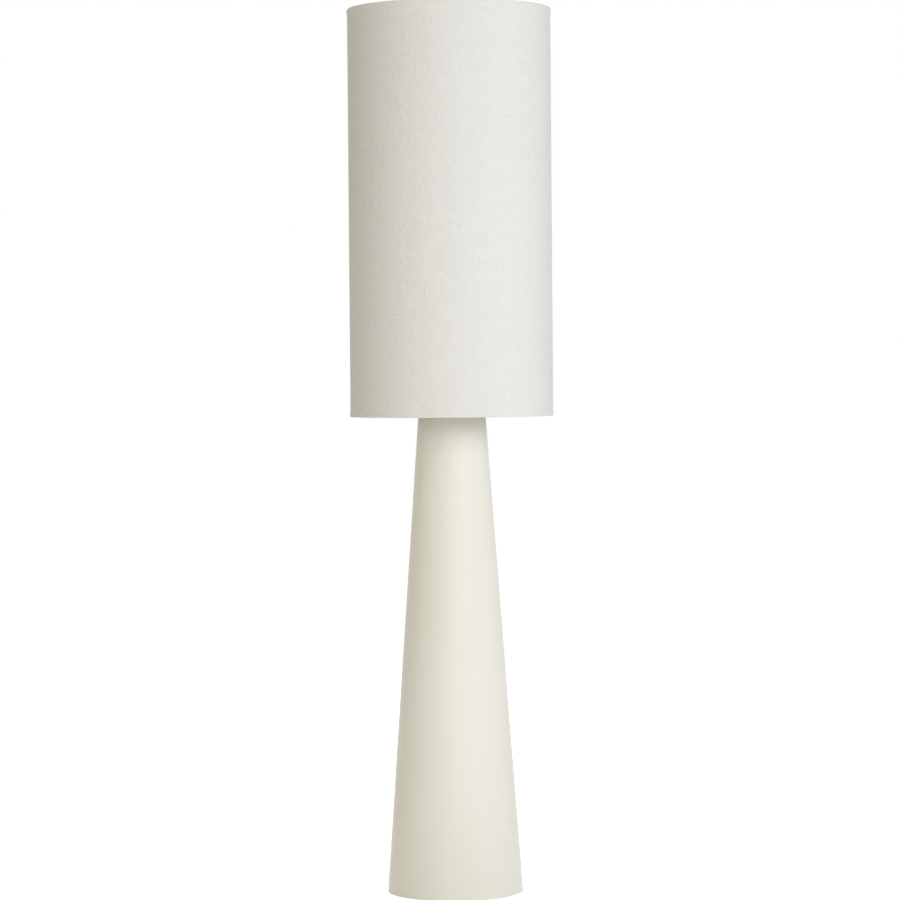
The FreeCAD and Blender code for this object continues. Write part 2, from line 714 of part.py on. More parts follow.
def shade_cover():
    """Linen cover: a drum with its ends turned over the rings, and a lapped seam down the back."""
    drum_r = SHADE_D / 2
    hem_r = drum_r + HEM_PROUD
    wall_r = drum_r - COVER_T
    fold_r = HEM_INSIDE_R + COVER_T
    fold_round = HEM_ROUND - COVER_T
    low_hem_z = SHADE_FOOT_Z + HEM_H
    high_hem_z = SHADE_TOP_Z - HEM_H
    drum = turned([
        (HEM_INSIDE_R, low_hem_z),
        (HEM_INSIDE_R, SHADE_FOOT_Z, HEM_ROUND),
        (hem_r, SHADE_FOOT_Z, HEM_ROUND),
        (hem_r, low_hem_z, HEM_PROUD / 2),
        (drum_r, low_hem_z),
        (drum_r, high_hem_z),
        (hem_r, high_hem_z, HEM_PROUD / 2),
        (hem_r, SHADE_TOP_Z, HEM_ROUND),
        (HEM_INSIDE_R, SHADE_TOP_Z, HEM_ROUND),
        (HEM_INSIDE_R, high_hem_z),
        (fold_r, high_hem_z),
        (fold_r, SHADE_TOP_Z - COVER_T, fold_round),
        (wall_r, SHADE_TOP_Z - COVER_T),
        (wall_r, SHADE_FOOT_Z + COVER_T),
        (fold_r, SHADE_FOOT_Z + COVER_T, fold_round),
        (fold_r, low_hem_z),
    ])
    seam_degrees = math.degrees(SEAM_W / drum_r)
    seam = turned([
        (drum_r - COVER_T / 2, low_hem_z),
        (drum_r + SEAM_PROUD, low_hem_z),
        (drum_r + SEAM_PROUD, high_hem_z),
        (drum_r - COVER_T / 2, high_hem_z),
    ], seam_degrees)
    seam.rotate(ORIGIN, UP, FULL_TURN / 4 - seam_degrees / 2)
    notches = round_about(arm_notch(), SPIDER_ARMS, FULL_TURN / 4)
    return drum.fuse(seam).cut(notches).removeSplitter()


def finial_washer():
    """Brass washer between the hub and the finial."""
    return ring(FINIAL_WASHER_D / 2, POST_D / 2 + SLIDE_GAP, FINIAL_WASHER_Z, FINIAL_WASHER_T)


def finial():
    """Turned knob that screws down on the stud."""
    top_z = FINIAL_Z + FINIAL_H
    foot_top = FINIAL_Z + FINIAL_FOOT_H
    neck_top = foot_top + FINIAL_NECK_H
    knob_r = FINIAL_KNOB_D / 2
    hole_r = POST_D / 2 + THREAD_GAP
    return turned([
        (hole_r, FINIAL_Z),
        (FINIAL_FOOT_D / 2, FINIAL_Z),
        (FINIAL_FOOT_D / 2, foot_top, FINIAL_FOOT_H / 3),
        (FINIAL_NECK_D / 2, foot_top, FINIAL_FOOT_H / 3),
        (FINIAL_NECK_D / 2, neck_top),
        (knob_r, neck_top + knob_r / 2, knob_r / 3),
        (knob_r, top_z, knob_r * 0.9),
        (0, top_z),
        (0, FINIAL_Z + FINIAL_HOLE_DEPTH),
        (hole_r, FINIAL_Z + FINIAL_HOLE_DEPTH),
    ])


# ---- Lamp socket ----------------------------------------------------------------------------


def socket_cap():
    """Spun cup with the threaded hub that screws down on the saddle."""
    hub_r = SOCKET_HUB_D / 2
    rim_r = SOCKET_CAP_D / 2
    shoulder_z = SOCKET_Z + SOCKET_CAP_SHOULDER_Z
    rim_z = SOCKET_Z + SOCKET_CAP_RIM_Z
    bell = turned(sheet([
        (hub_r - SOCKET_CAP_WALL, shoulder_z - SOCKET_CAP_WALL),
        (rim_r, rim_z, SOCKET_CAP_D / 4),
        (rim_r, SOCKET_Z + SOCKET_CAP_H),
    ], SOCKET_CAP_WALL))
    hub = ring(hub_r, PIPE_HOLE_R, SOCKET_Z, SOCKET_HUB_H)
    screw_hole = rod(SET_SCREW_D / 2 + GLUE_GAP, Vector(0, 0, SOCKET_Z + SET_SCREW_Z),
                     Vector(0, SOCKET_HUB_D, SOCKET_Z + SET_SCREW_Z))
    pipe_hole = Part.makeCylinder(PIPE_HOLE_R, SOCKET_CAP_H, Vector(0, 0, SOCKET_Z))
    return hub.fuse(bell).cut([screw_hole, pipe_hole])


def socket_set_screw():
    """Slotted screw that locks the hub on the pipe."""
    axis_z = SOCKET_Z + SET_SCREW_Z
    tip = Vector(0, PIPE_R + THREAD_GAP, axis_z)
    head = Vector(0, SOCKET_HUB_D / 2 + SEAT_GAP, axis_z)
    end = head + BACK * SET_SCREW_HEAD_T
    slot = box_between(end - Vector(SET_SCREW_HEAD_D, SET_SCREW_HEAD_T / 2, SET_SCREW_HEAD_T / 4),
                       end + Vector(SET_SCREW_HEAD_D, SET_SCREW_HEAD_T / 2, SET_SCREW_HEAD_T / 4))
    return rod(SET_SCREW_D / 2, tip, head).fuse(rod(SET_SCREW_HEAD_D / 2, head, end)).cut(slot)


def stem_bore(radius):
    """Cutter along the switch stem, from the socket's middle out of its front."""
    return rod(radius, Vector(0, 0, SOCKET_Z + STEM_Z), Vector(0, -SHELL_D, SOCKET_Z + STEM_Z))


def socket_shell():
    """Brass tube with a rolled bead, held in the cap."""
    shell_r = SHELL_D / 2
    foot_z = SOCKET_Z + SHELL_FOOT
    top_z = SOCKET_Z + SHELL_TOP
    tube = turned(sheet([
        (shell_r, foot_z),
        (shell_r, top_z - SHELL_BEAD_H, SHELL_BEAD),
        (shell_r + SHELL_BEAD, top_z - SHELL_BEAD_H / 2, SHELL_BEAD),
        (shell_r + SHELL_BEAD, top_z),
    ], SHELL_WALL))
    return tube.cut(stem_bore(STEM_HOLE_D / 2))


def socket_liner():
    """Insulating sleeve inside the shell."""
    foot_z = SOCKET_Z + SHELL_FOOT + LINER_INSET
    length = SHELL_TOP - SHELL_BEAD_H - SHELL_FOOT - LINER_INSET
    return ring(LINER_R, LINER_R - LINER_WALL, foot_z, length).cut(stem_bore(STEM_HOLE_D / 2))


def terminal_axis(start_x, end_x, radius):
    """Round bar along +X at the height of the terminal screws."""
    z = CORE_Z + TERMINAL_Z
    return rod(radius, Vector(start_x, 0, z), Vector(end_x, 0, z))


def cam_cavity():
    """Space in the core that the switch cam turns in."""
    half = CAM_L / 2 + CAM_CAVITY_GAP
    z = SOCKET_Z + STEM_Z
    return rod(CAM_D / 2 + CAM_CAVITY_GAP, Vector(0, half, z), Vector(0, -half, z))


def socket_core():
    """Moulded block that carries the thread sleeve, the switch and two wire terminals."""
    block = Part.makeCylinder(CORE_R, CORE_H, Vector(0, 0, CORE_Z))
    flat = box_between(Vector(CORE_FLAT_X, -CORE_R, CORE_Z),
                       Vector(CORE_R, CORE_R, CORE_Z + CORE_FLAT_H))
    tapped = terminal_axis(CORE_FLAT_X - TERMINAL_SCREW_L, CORE_FLAT_X, TERMINAL_SCREW_D / 2 + GLUE_GAP)
    return block.cut(both_sides(flat) + both_sides(tapped) + [stem_bore(STEM_RUN_R), cam_cavity()])


def terminal_screws():
    """Two brass screws that would hold the wires."""
    head_x = CORE_FLAT_X + SEAT_GAP
    shank = terminal_axis(CORE_FLAT_X - TERMINAL_SCREW_L, head_x, TERMINAL_SCREW_D / 2)
    head = terminal_axis(head_x, head_x + TERMINAL_HEAD_T, TERMINAL_HEAD_D / 2)
    middle = Vector(head_x + TERMINAL_HEAD_T, 0, CORE_Z + TERMINAL_Z)
    reach = Vector(TERMINAL_HEAD_T / 2, TERMINAL_HEAD_D, TERMINAL_HEAD_T / 4)
    screw = shank.fuse(head).cut(box_between(middle - reach, middle + reach))
    return Part.makeCompound(both_sides(screw))


def thread_sleeve():
    """Thin cup that the bulb screws into, riveted on the core."""
    outside_r = THREAD_SLEEVE_BORE / 2 + THREAD_SLEEVE_WALL
    return turned(sheet([
        (THREAD_SLEEVE_HOLE_D / 2, CORE_TOP_Z),
        (outside_r, CORE_TOP_Z, 2 * THREAD_SLEEVE_WALL),
        (outside_r, CORE_TOP_Z + THREAD_SLEEVE_H),
    ], THREAD_SLEEVE_WALL))


def centre_contact():
    """Domed contact in the bottom of the thread sleeve."""
    contact_r = CONTACT_D / 2
    return turned([
        (0, CORE_TOP_Z),
        (contact_r, CORE_TOP_Z),
        (contact_r, CONTACT_TOP_Z, CONTACT_H * 0.7),
        (0, CONTACT_TOP_Z),
    ])


# ---- Turn switch ----------------------------------------------------------------------------


def knob_start_y():
    """Where the knob begins, in front of the shell."""
    return -(SHELL_D / 2 + KNOB_FROM_SHELL)


def switch_stem():
    """Rod from the cam, out through the front of the socket, into the knob."""
    z = SOCKET_Z + STEM_Z
    return rod(STEM_D / 2, Vector(0, CAM_L / 2, z), Vector(0, knob_start_y() - KNOB_BORE_L, z))


def switch_cam():
    """Grooved cam that clicks from contact to contact as the stem turns."""
    z = SOCKET_Z + STEM_Z
    ends = Vector(0, CAM_L / 2, z), Vector(0, -CAM_L / 2, z)
    cam = rod(CAM_D / 2, *ends).cut(rod(STEM_D / 2 + GLUE_GAP, *ends))
    for i in range(CAM_LOBES):
        angle = (i + 0.5) * 2 * math.pi / CAM_LOBES
        offset = Vector(math.cos(angle), 0, math.sin(angle)) * (CAM_D / 2)
        cam = cam.cut(rod(CAM_GROOVE_D / 2, ends[0] + offset, ends[1] + offset))
    return cam


def switch_knob():
    """Fluted knob, a little narrower at its tip."""
    knob_r = KNOB_D / 2
    tip_r = KNOB_TIP_D / 2
    bore_r = STEM_D / 2 + GLUE_GAP
    knob = turned([
        (bore_r, 0),
        (knob_r, 0, KNOB_ROUND / 2),
        (tip_r, KNOB_L, KNOB_ROUND),
        (0, KNOB_L),
        (0, KNOB_BORE_L + SEAT_GAP),
        (bore_r, KNOB_BORE_L + SEAT_GAP),
    ])
    flute = rod(KNOB_FLUTE_D / 2, Vector(knob_r + KNOB_FLUTE_D / 4, 0, KNOB_L / 6),
                Vector(tip_r + KNOB_FLUTE_D / 4, 0, KNOB_L + KNOB_ROUND))
    knob = knob.cut(round_about(flute, KNOB_FLUTES))
    knob.rotate(ORIGIN, RIGHT, 90)
    knob.translate(Vector(0, knob_start_y(), SOCKET_Z + STEM_Z))
    return knob


# ---- Bulb -----------------------------------------------------------------------------------


def bulb_contact():
    """Solder button under the bulb."""
    return Part.makeCylinder(BULB_CONTACT_D / 2, BULB_CONTACT_H, Vector(0, 0, BULB_Z))


def bulb_insulator():
    """Glass cone between the contact and the bulb's screw cap."""
    return Part.makeCone(BULB_CONTACT_D / 2, INSULATOR_TOP_D / 2, INSULATOR_H, Vector(0, 0, INSULATOR_Z))


def bulb_cap():
    """Thin screw cap, closed over the insulator by a shoulder."""
    cap_r = BULB_CAP_D / 2
    return turned(sheet([
        (INSULATOR_TOP_D / 2 - BULB_CAP_WALL, BULB_CAP_Z),
        (cap_r, BULB_CAP_Z, 2 * BULB_CAP_WALL),
        (cap_r, GLOBE_Z),
    ], BULB_CAP_WALL))


def bulb_globe():
    """Hollow pear-shaped glass with its neck standing on the cap."""
    neck_r = GLOBE_NECK_D / 2
    globe_r = GLOBE_D / 2
    return turned(sheet([
        (neck_r, GLOBE_Z),
        (neck_r, GLOBE_Z + GLOBE_NECK_H, GLOBE_D / 2),
        (globe_r, GLOBE_Z + GLOBE_SHOULDER_H, GLOBE_D / 2),
        (globe_r, GLOBE_Z + GLOBE_H, globe_r - GLOBE_WALL),
        (0, GLOBE_Z + GLOBE_H),
    ], GLOBE_WALL))


# ---- Files ----------------------------------------------------------------------------------


def all_pieces():
    """Every piece of the lamp by its name."""
    return {
        "felt_pad": felt_pad(),
        "base_plate": base_plate(),
        "base_screws": base_screws(),
        "base_weight": base_weight(),
        "bottom_washer": bottom_washer(),
        "bottom_nut": bottom_nut(),
        "centre_pipe": centre_pipe(),
        "column_shell": column_shell(),
        "cord_bushing": cord_bushing(),
        "top_cap": top_cap(),
        "riser_collar": riser_collar(),
        "riser_tube": riser_tube(),
        "harp_saddle": harp_saddle(),
        "harp": harp(),
        "harp_sleeve_left": harp_sleeve(-1),
        "harp_sleeve_right": harp_sleeve(1),
        "harp_post": harp_post(),
        "spider": spider(),
        "shade_top_ring": shade_ring(TOP_RING_Z),
        "shade_bottom_ring": shade_ring(BOTTOM_RING_Z),
        "shade_lining": shade_lining(),
        "shade_cover": shade_cover(),
        "finial_washer": finial_washer(),
        "finial": finial(),
        "socket_cap": socket_cap(),
        "socket_set_screw": socket_set_screw(),
        "socket_shell": socket_shell(),
        "socket_liner": socket_liner(),
        "socket_core": socket_core(),
        "terminal_screws": terminal_screws(),
        "thread_sleeve": thread_sleeve(),
        "centre_contact": centre_contact(),
        "switch_stem": switch_stem(),
        "switch_cam": switch_cam(),
        "switch_knob": switch_knob(),
        "bulb_contact": bulb_contact(),
        "bulb_insulator": bulb_insulator(),
        "bulb_cap": bulb_cap(),
        "bulb_globe": bulb_globe(),
    }


os.makedirs("parts", exist_ok=True)
for name, shape in all_pieces().items():
    shape.exportStep(os.path.join("parts", name + ".step"))
    bounds = shape.BoundBox
    print(f"{name:18s} solids {len(shape.Solids)}  valid {shape.isValid()}  volume {shape.Volume:11.1f}"
          f"  z {bounds.ZMin:8.2f} to {bounds.ZMax:8.2f}")
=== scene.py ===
"""Column floor lamp with a tall linen drum shade: its looks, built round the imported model.

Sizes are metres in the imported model's own frame: +Z is up, -Y is the front, and the origin is on
the floor under the middle of the foot. Each sub-assembly is a class that models its soft and finely
shaped pieces and gives every carried-over piece its finish.
"""
import logging
import math
from contextlib import contextmanager
from dataclasses import dataclass, field
from enum import Enum
from typing import Callable, Iterator, Optional, Sequence, Union

import bpy
from mathutils import Matrix, Vector


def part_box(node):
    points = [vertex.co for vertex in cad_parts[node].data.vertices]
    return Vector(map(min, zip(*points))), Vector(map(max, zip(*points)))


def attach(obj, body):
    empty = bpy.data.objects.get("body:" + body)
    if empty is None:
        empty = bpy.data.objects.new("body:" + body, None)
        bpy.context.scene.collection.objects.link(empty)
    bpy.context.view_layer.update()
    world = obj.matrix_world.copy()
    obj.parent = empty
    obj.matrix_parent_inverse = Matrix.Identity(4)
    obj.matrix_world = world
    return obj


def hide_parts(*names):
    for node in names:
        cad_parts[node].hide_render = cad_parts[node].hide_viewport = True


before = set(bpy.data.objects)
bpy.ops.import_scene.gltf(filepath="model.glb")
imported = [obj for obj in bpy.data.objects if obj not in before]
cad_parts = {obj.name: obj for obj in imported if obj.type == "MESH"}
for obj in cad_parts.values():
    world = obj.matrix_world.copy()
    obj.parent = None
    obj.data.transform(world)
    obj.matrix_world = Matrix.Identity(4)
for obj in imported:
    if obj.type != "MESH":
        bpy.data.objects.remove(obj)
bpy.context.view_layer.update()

FULL_TURN = 2 * math.pi
QUARTER_TURN = math.pi / 2
MM = 0.001
WELD = 0.00001            # points nearer than this are one point
UPRIGHT = 0.5             # a face whose normal rises less than this stands upright
LYING = 0.7               # a face whose normal rises more than this lies flat
DOWNWARD = -0.05          # a face whose normal rises less than this looks down
FULL_LEVEL = 255          # white on a screen
WHITE = (1.0, 1.0, 1.0)

Rgb = tuple[float, float, float]
Point = tuple[float, float]
Stretch = tuple[float, float, float]
Piece = bpy.types.Object
Socket = bpy.types.NodeSocket
Material = bpy.types.Material
FaceTest = Callable[[Vector, Vector], bool]

log = logging.getLogger("lamp")


def linear(level: float) -> float:
    """A screen level, 0 to 255, as the linear value that shaders take (the sRGB curve)."""
    share = level / FULL_LEVEL
    return share / 12.92 if share <= 0.04045 else ((share + 0.055) / 1.055) ** 2.4


def tone(red: float, green: float, blue: float) -> Rgb:
    """A colour written in screen levels as the linear colour that shaders take."""
    return linear(red), linear(green), linear(blue)


# ---- Modelling -------------------------------------------------------------------------------


def only(piece: Piece) -> None:
    """Selects one piece and nothing else, and makes it the active one.

    Args:
        piece: the object.
    """
    bpy.ops.object.select_all(action="DESELECT")
    piece.select_set(True)
    bpy.context.view_layer.objects.active = piece


@contextmanager
def editing(piece: Piece, keep: bool = False) -> Iterator[None]:
    """Edit mode on one piece alone.

    Args:
        piece: the mesh to shape.
        keep: whether its selection stays; otherwise all of it is selected.

    Yields:
        Nothing, while the piece is in edit mode.
    """
    only(piece)
    bpy.ops.object.mode_set(mode="EDIT")
    if not keep:
        bpy.ops.mesh.select_all(action="SELECT")
    yield
    bpy.ops.object.mode_set(mode="OBJECT")


def added(primitive: Callable[..., set], **settings: object) -> Piece:
    """Adds one of Blender's plain meshes, with nothing else selected.

    Args:
        primitive: the operator that adds it.
        settings: its size and place.

    Returns:
        The new piece.
    """
    bpy.ops.object.select_all(action="DESELECT")
    primitive(**settings)
    return bpy.context.active_object


def settle(piece: Piece) -> None:
    """Moves a piece's place, turn and scale into its mesh."""
    only(piece)
    bpy.ops.object.transform_apply(location=True, rotation=True, scale=True)


def fit_modifier(piece: Piece, kind: str, **settings: object) -> None:
    """Adds a modifier to a piece and applies it.

    Args:
        piece: the mesh that it works on.
        kind: Blender's name of the modifier type.
        settings: its values by name.
    """
    modifier = piece.modifiers.new(kind.title(), kind)
    for key, value in settings.items():
        setattr(modifier, key, value)
    only(piece)
    bpy.ops.object.modifier_apply(modifier=modifier.name)


def cut_away(piece: Piece, cutter: Piece) -> None:
    """Takes a cutter's shape out of a piece and deletes the cutter."""
    fit_modifier(piece, "BOOLEAN", object=cutter, operation="DIFFERENCE", solver="EXACT")
    bpy.data.objects.remove(cutter)


def smooth(piece: Piece, degrees: float = 32.0) -> None:
    """Shades a piece smooth, with edges sharper than the given angle left crisp."""
    only(piece)
    bpy.ops.object.shade_smooth_by_angle(angle=math.radians(degrees))


def arc(centre: Point, radius: float, first: float, last: float, steps: int = 6) -> list[Point]:
    """Points along a round stretch of an outline.

    Args:
        centre: middle of the arc, as radius from the axis and height.
        radius: of the arc.
        first: angle of its first point in degrees, 0 away from the axis and 90 up.
        last: angle of its last point.
        steps: number of straight steps.

    Returns:
        The points as (radius, height), both ends included.
    """
    turn = math.radians(last - first)
    start = math.radians(first)
    return [(centre[0] + radius * math.cos(start + turn * i / steps),
             centre[1] + radius * math.sin(start + turn * i / steps)) for i in range(steps + 1)]


def run(start: Point, end: Point, steps: int) -> list[Point]:
    """Evenly spaced points along a straight stretch, without its two ends."""
    return [(start[0] + (end[0] - start[0]) * i / steps,
             start[1] + (end[1] - start[1]) * i / steps) for i in range(1, steps)]


def turned(name: str, outline: Sequence[Point], steps: int = 96, closed: bool = True,
           start: float = 0.0) -> Piece:
    """Turns an outline round the vertical axis, as on a lathe.

    Args:
        name: of the new piece.
        outline: points as (radius, height); the first and last may lie on the axis.
        steps: faces round the axis.
        closed: whether the outline's end joins its start, as round a wall.
        start: angle of the first row of points, in radians.

    Returns:
        The piece, with its normals outwards.
    """
    piece = added(bpy.ops.mesh.primitive_plane_add, size=MM)
    piece.name = piece.data.name = name
    spots = [Vector((r * math.cos(start), r * math.sin(start), z)) for r, z in outline]
    if closed:
        spots.append(spots[0])
    with editing(piece):
        bpy.ops.mesh.merge(type="CENTER")
        bpy.ops.transform.translate(value=spots[0])
        for here, there in zip(spots, spots[1:]):
            bpy.ops.mesh.extrude_region_move(TRANSFORM_OT_translate={"value": there - here})
        bpy.ops.mesh.select_all(action="SELECT")
        bpy.ops.mesh.remove_doubles(threshold=WELD)
        bpy.ops.mesh.spin(steps=steps, angle=FULL_TURN, center=(0, 0, 0), axis=(0, 0, 1))
        bpy.ops.mesh.select_all(action="SELECT")
        bpy.ops.mesh.remove_doubles(threshold=WELD)
        bpy.ops.mesh.normals_make_consistent(inside=False)
    return piece


def select_faces(piece: Piece, wanted: FaceTest) -> None:
    """Selects the faces whose centre and normal pass a test; the piece is in object mode.

    Args:
        piece: the mesh.
        wanted: a test of a face's centre and normal.
    """
    mesh = piece.data
    for item in (*mesh.vertices, *mesh.edges):
        item.select = False
    for face in mesh.polygons:
        face.select = wanted(face.center, face.normal)


def raise_faces(piece: Piece, wanted: FaceTest, height: float) -> None:
    """Pushes faces out of the surface, with walls round them.

    Args:
        piece: the mesh.
        wanted: a test of a face's centre and normal.
        height: how far they move along their normals.
    """
    select_faces(piece, wanted)
    with editing(piece, keep=True):
        bpy.ops.mesh.extrude_region_shrink_fatten(TRANSFORM_OT_shrink_fatten={"value": height})


def shift_points(piece: Piece, move: Callable[[Vector], Vector]) -> None:
    """Moves each point of a mesh to where a formula puts it, for forms no operator makes.

    Args:
        piece: the mesh.
        move: gives a point's new place from its old one.
    """
    for vertex in piece.data.vertices:
        vertex.co = move(vertex.co)
    piece.data.update()


def round_the_axis(spot: Vector) -> float:
    """Angle of a point round the vertical axis, from 0 to a full turn."""
    return math.atan2(spot.y, spot.x) % FULL_TURN


def radius_of(spot: Vector) -> float:
    """Distance of a point from the vertical axis."""
    return math.hypot(spot.x, spot.y)


def mount(piece: Piece, body: str, slot: str, material: Material, *stands_for: str) -> None:
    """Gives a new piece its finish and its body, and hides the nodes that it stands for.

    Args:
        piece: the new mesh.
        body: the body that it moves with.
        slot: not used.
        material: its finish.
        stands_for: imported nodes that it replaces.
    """
    piece.data.materials.clear()
    piece.data.materials.append(material)
    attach(piece, body)
    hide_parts(*stands_for)
    log.info("%s rides on %s with %d faces", piece.name, body, len(piece.data.polygons))


def dress(material: Material, *nodes: str) -> None:
    """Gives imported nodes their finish.

    Args:
        material: the finish.
        nodes: their names.
    """
    for name in nodes:
        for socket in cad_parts[name].material_slots:
            socket.material = material
        log.info("%s is dressed in %s", name, material.name)


# ---- Finishes --------------------------------------------------------------------------------


class Recipe:
    """The node tree of one material or world, written as short calls."""

    def __init__(self, name: str, world: bool = False) -> None:
        """Starts an empty tree.

        Args:
            name: of the new material or world.
            world: whether it is a world.
        """
        self.owner = (bpy.data.worlds if world else bpy.data.materials).new(name)
        self.owner.use_nodes = True
        self.tree = self.owner.node_tree
        self.tree.nodes.clear()

    def node(self, kind: str, inputs: Optional[dict] = None, **settings: object) -> bpy.types.Node:
        """Adds a node.

        Args:
            kind: Blender's node type.
            inputs: values or sockets by the input's name or number.
            settings: the node's own options.

        Returns:
            The node.
        """
        made = self.tree.nodes.new(kind)
        for key, value in settings.items():
            setattr(made, key, value)
        for key, value in (inputs or {}).items():
            socket = made.inputs[key]
            if isinstance(value, Socket):
                self.tree.links.new(value, socket)
            elif socket.type == "RGBA":
                socket.default_value = (*value[:3], 1.0)
            else:
                socket.default_value = value
        return made

    def math(self, operation: str, *values: object) -> Socket:
        """A sum, product or other plain function of one to three values."""
        return self.node("ShaderNodeMath", dict(enumerate(values)), operation=operation).outputs[0]

    def place(self, x: float = 1.0, y: float = 1.0, z: float = 1.0) -> Socket:
        """Object coordinates, stretched by a factor along each axis."""
        point = self.node("ShaderNodeTexCoord").outputs["Object"]
        return self.node("ShaderNodeMapping", {"Vector": point, "Scale": (x, y, z)}).outputs[0]

    def noise(self, scale: float, detail: float = 2.0, rough: float = 0.5,
              spot: Optional[Socket] = None) -> Socket:
        """Soft noise from 0 to 1.

        Args:
            scale: blobs in each unit of the coordinates.
            detail: octaves.
            rough: share of the fine octaves.
            spot: where it is read; the object's own coordinates if it is left out.

        Returns:
            The noise.
        """
        if spot is None:
            spot = self.place()
        return self.node("ShaderNodeTexNoise", {"Vector": spot, "Scale": scale, "Detail": detail,
                                                "Roughness": rough}).outputs[0]

    def step(self, value: Socket, low: float, high: float, first: float = 0.0,
             last: float = 1.0) -> Socket:
        """Carries a value from one range to another, and holds it at both ends.

        Args:
            value: what is carried over.
            low: value that gives first.
            high: value that gives last.
            first: the result at low.
            last: the result at high.

        Returns:
            The result.
        """
        return self.node("ShaderNodeMapRange", {0: value, 1: low, 2: high, 3: first,
                                                4: last}).outputs[0]

    def blend(self, share: object, first: object, second: object, kind: str = "MIX") -> Socket:
        """Mixes two colours.

        Args:
            share: how much of the second, from 0 to 1.
            first: colour or socket.
            second: colour or socket.
            kind: Blender's blend type.

        Returns:
            The mixed colour.
        """
        return self.node("ShaderNodeMix", {0: share, 6: first, 7: second}, data_type="RGBA",
                         blend_type=kind).outputs[2]

    def relief(self, height: Socket, depth: float, strength: float = 1.0,
               under: Optional[Socket] = None) -> Socket:
        """A bumped normal.

        Args:
            height: the relief, 0 to 1.
            depth: its real depth in metres.
            strength: share of it that shows.
            under: a coarser relief that this one lies on.

        Returns:
            The normal.
        """
        inputs = {"Height": height, "Distance": depth, "Strength": strength}
        if under is not None:
            inputs["Normal"] = under
        return self.node("ShaderNodeBump", inputs).outputs[0]

    def finish(self, inputs: dict) -> Material:
        """Ends the tree with the surface shader.

        Args:
            inputs: the shader's values and sockets by name.

        Returns:
            The material.
        """
        shader = self.node("ShaderNodeBsdfPrincipled", inputs)
        self.node("ShaderNodeOutputMaterial", {"Surface": shader.outputs[0]})
        return self.owner

    def seen(self) -> Socket:
        """Tells the rays that show the background: from the camera, off gloss and through glass.

        Returns:
            1 for those rays and 0 for the others.
        """
        path = self.node("ShaderNodeLightPath").outputs
        shown = self.math("MAXIMUM", path["Is Camera Ray"], path["Is Glossy Ray"])
        return self.math("MAXIMUM", shown, path["Is Transmission Ray"])


@dataclass(frozen=True)
class SatinPaint:
    """Sprayed satin paint: an even cream with a fine orange peel and a slow drift of tone."""

    name: str
    cream: Rgb
    drift: Rgb
    roughness: float = 0.42
    drifts: float = 4.0
    peels: float = 420.0
    peel_depth: float = 0.00002
    specks: float = 2600.0
    sheens: float = 30.0

    def material(self) -> Material:
        """Mixes the finish.

        Returns:
            The material.
        """
        mix = Recipe(self.name)
        drift = mix.step(mix.noise(self.drifts, 3.0), 0.35, 0.7)
        peel = mix.noise(self.peels, 2.0, 0.4)
        dust = mix.noise(self.specks, 1.0)
        sheen = mix.step(mix.noise(self.sheens, 4.0), 0.3, 0.7, self.roughness - 0.03,
                         self.roughness + 0.05)
        bump = mix.relief(peel, self.peel_depth, 0.5)
        return mix.finish({
            "Base Color": mix.blend(drift, self.cream, self.drift),
            "Roughness": sheen,
            "Specular IOR Level": 0.42,
            "Normal": mix.relief(dust, self.peel_depth / 4, 0.3, bump),
        })


class Grain(Enum):
    """How a metal was worked, as the stretch of its scratches along x, y and z."""

    TURNED = (90.0, 90.0, 5200.0)
    DRAWN = (4200.0, 4200.0, 60.0)
    STAMPED = (700.0, 900.0, 800.0)


@dataclass(frozen=True)
class Metal:
    """Worked metal: fine scratches along its grain, cloudy tarnish and faint handling marks."""

    name: str
    bright: Rgb
    dull: Rgb
    grain: Grain
    roughness: float = 0.3
    scratch_depth: float = 0.000006
    clouds: float = 45.0
    marks: float = 160.0

    def material(self) -> Material:
        """Mixes the finish.

        Returns:
            The material.
        """
        mix = Recipe(self.name)
        scratches = mix.noise(1.0, 4.0, 0.6, mix.place(*self.grain.value))
        clouds = mix.noise(self.clouds, 5.0, 0.62)
        marks = mix.step(mix.noise(self.marks, 3.0), 0.55, 0.75)
        tarnish = mix.math("MULTIPLY_ADD", scratches, 0.35, mix.step(clouds, 0.3, 0.8, 0.0, 0.65))
        rough = mix.math("MULTIPLY_ADD", scratches, 0.12, self.roughness - 0.06)
        return mix.finish({
            "Base Color": mix.blend(tarnish, self.bright, self.dull),
            "Metallic": 1.0,
            "Roughness": mix.math("MULTIPLY_ADD", marks, 0.08, rough),
            "Anisotropic": 0.25,
            "Normal": mix.relief(scratches, self.scratch_depth, 0.5),
        })


@dataclass(frozen=True)
class Coating:
    """Dipped or moulded plastic: even colour, soft pooling and a fine surface texture."""

    name: str
    colour: Rgb
    shade: Rgb
    roughness: float = 0.4
    texture: float = 900.0
    depth: float = 0.00001
    coat: float = 0.0
    pools: float = 70.0
    uneven: float = 0.06

    def material(self) -> Material:
        """Mixes the finish.

        Returns:
            The material.
        """
        mix = Recipe(self.name)
        pools = mix.step(mix.noise(self.pools, 3.0), 0.3, 0.75)
        fine = mix.noise(self.texture, 3.0)
        return mix.finish({
            "Base Color": mix.blend(pools, self.colour, self.shade),
            "Roughness": mix.step(fine, 0.2, 0.8, self.roughness - self.uneven,
                                  self.roughness + self.uneven),
            "Coat Weight": self.coat,
            "Coat Roughness": 0.12,
            "Normal": mix.relief(fine, self.depth, 0.6),
        })


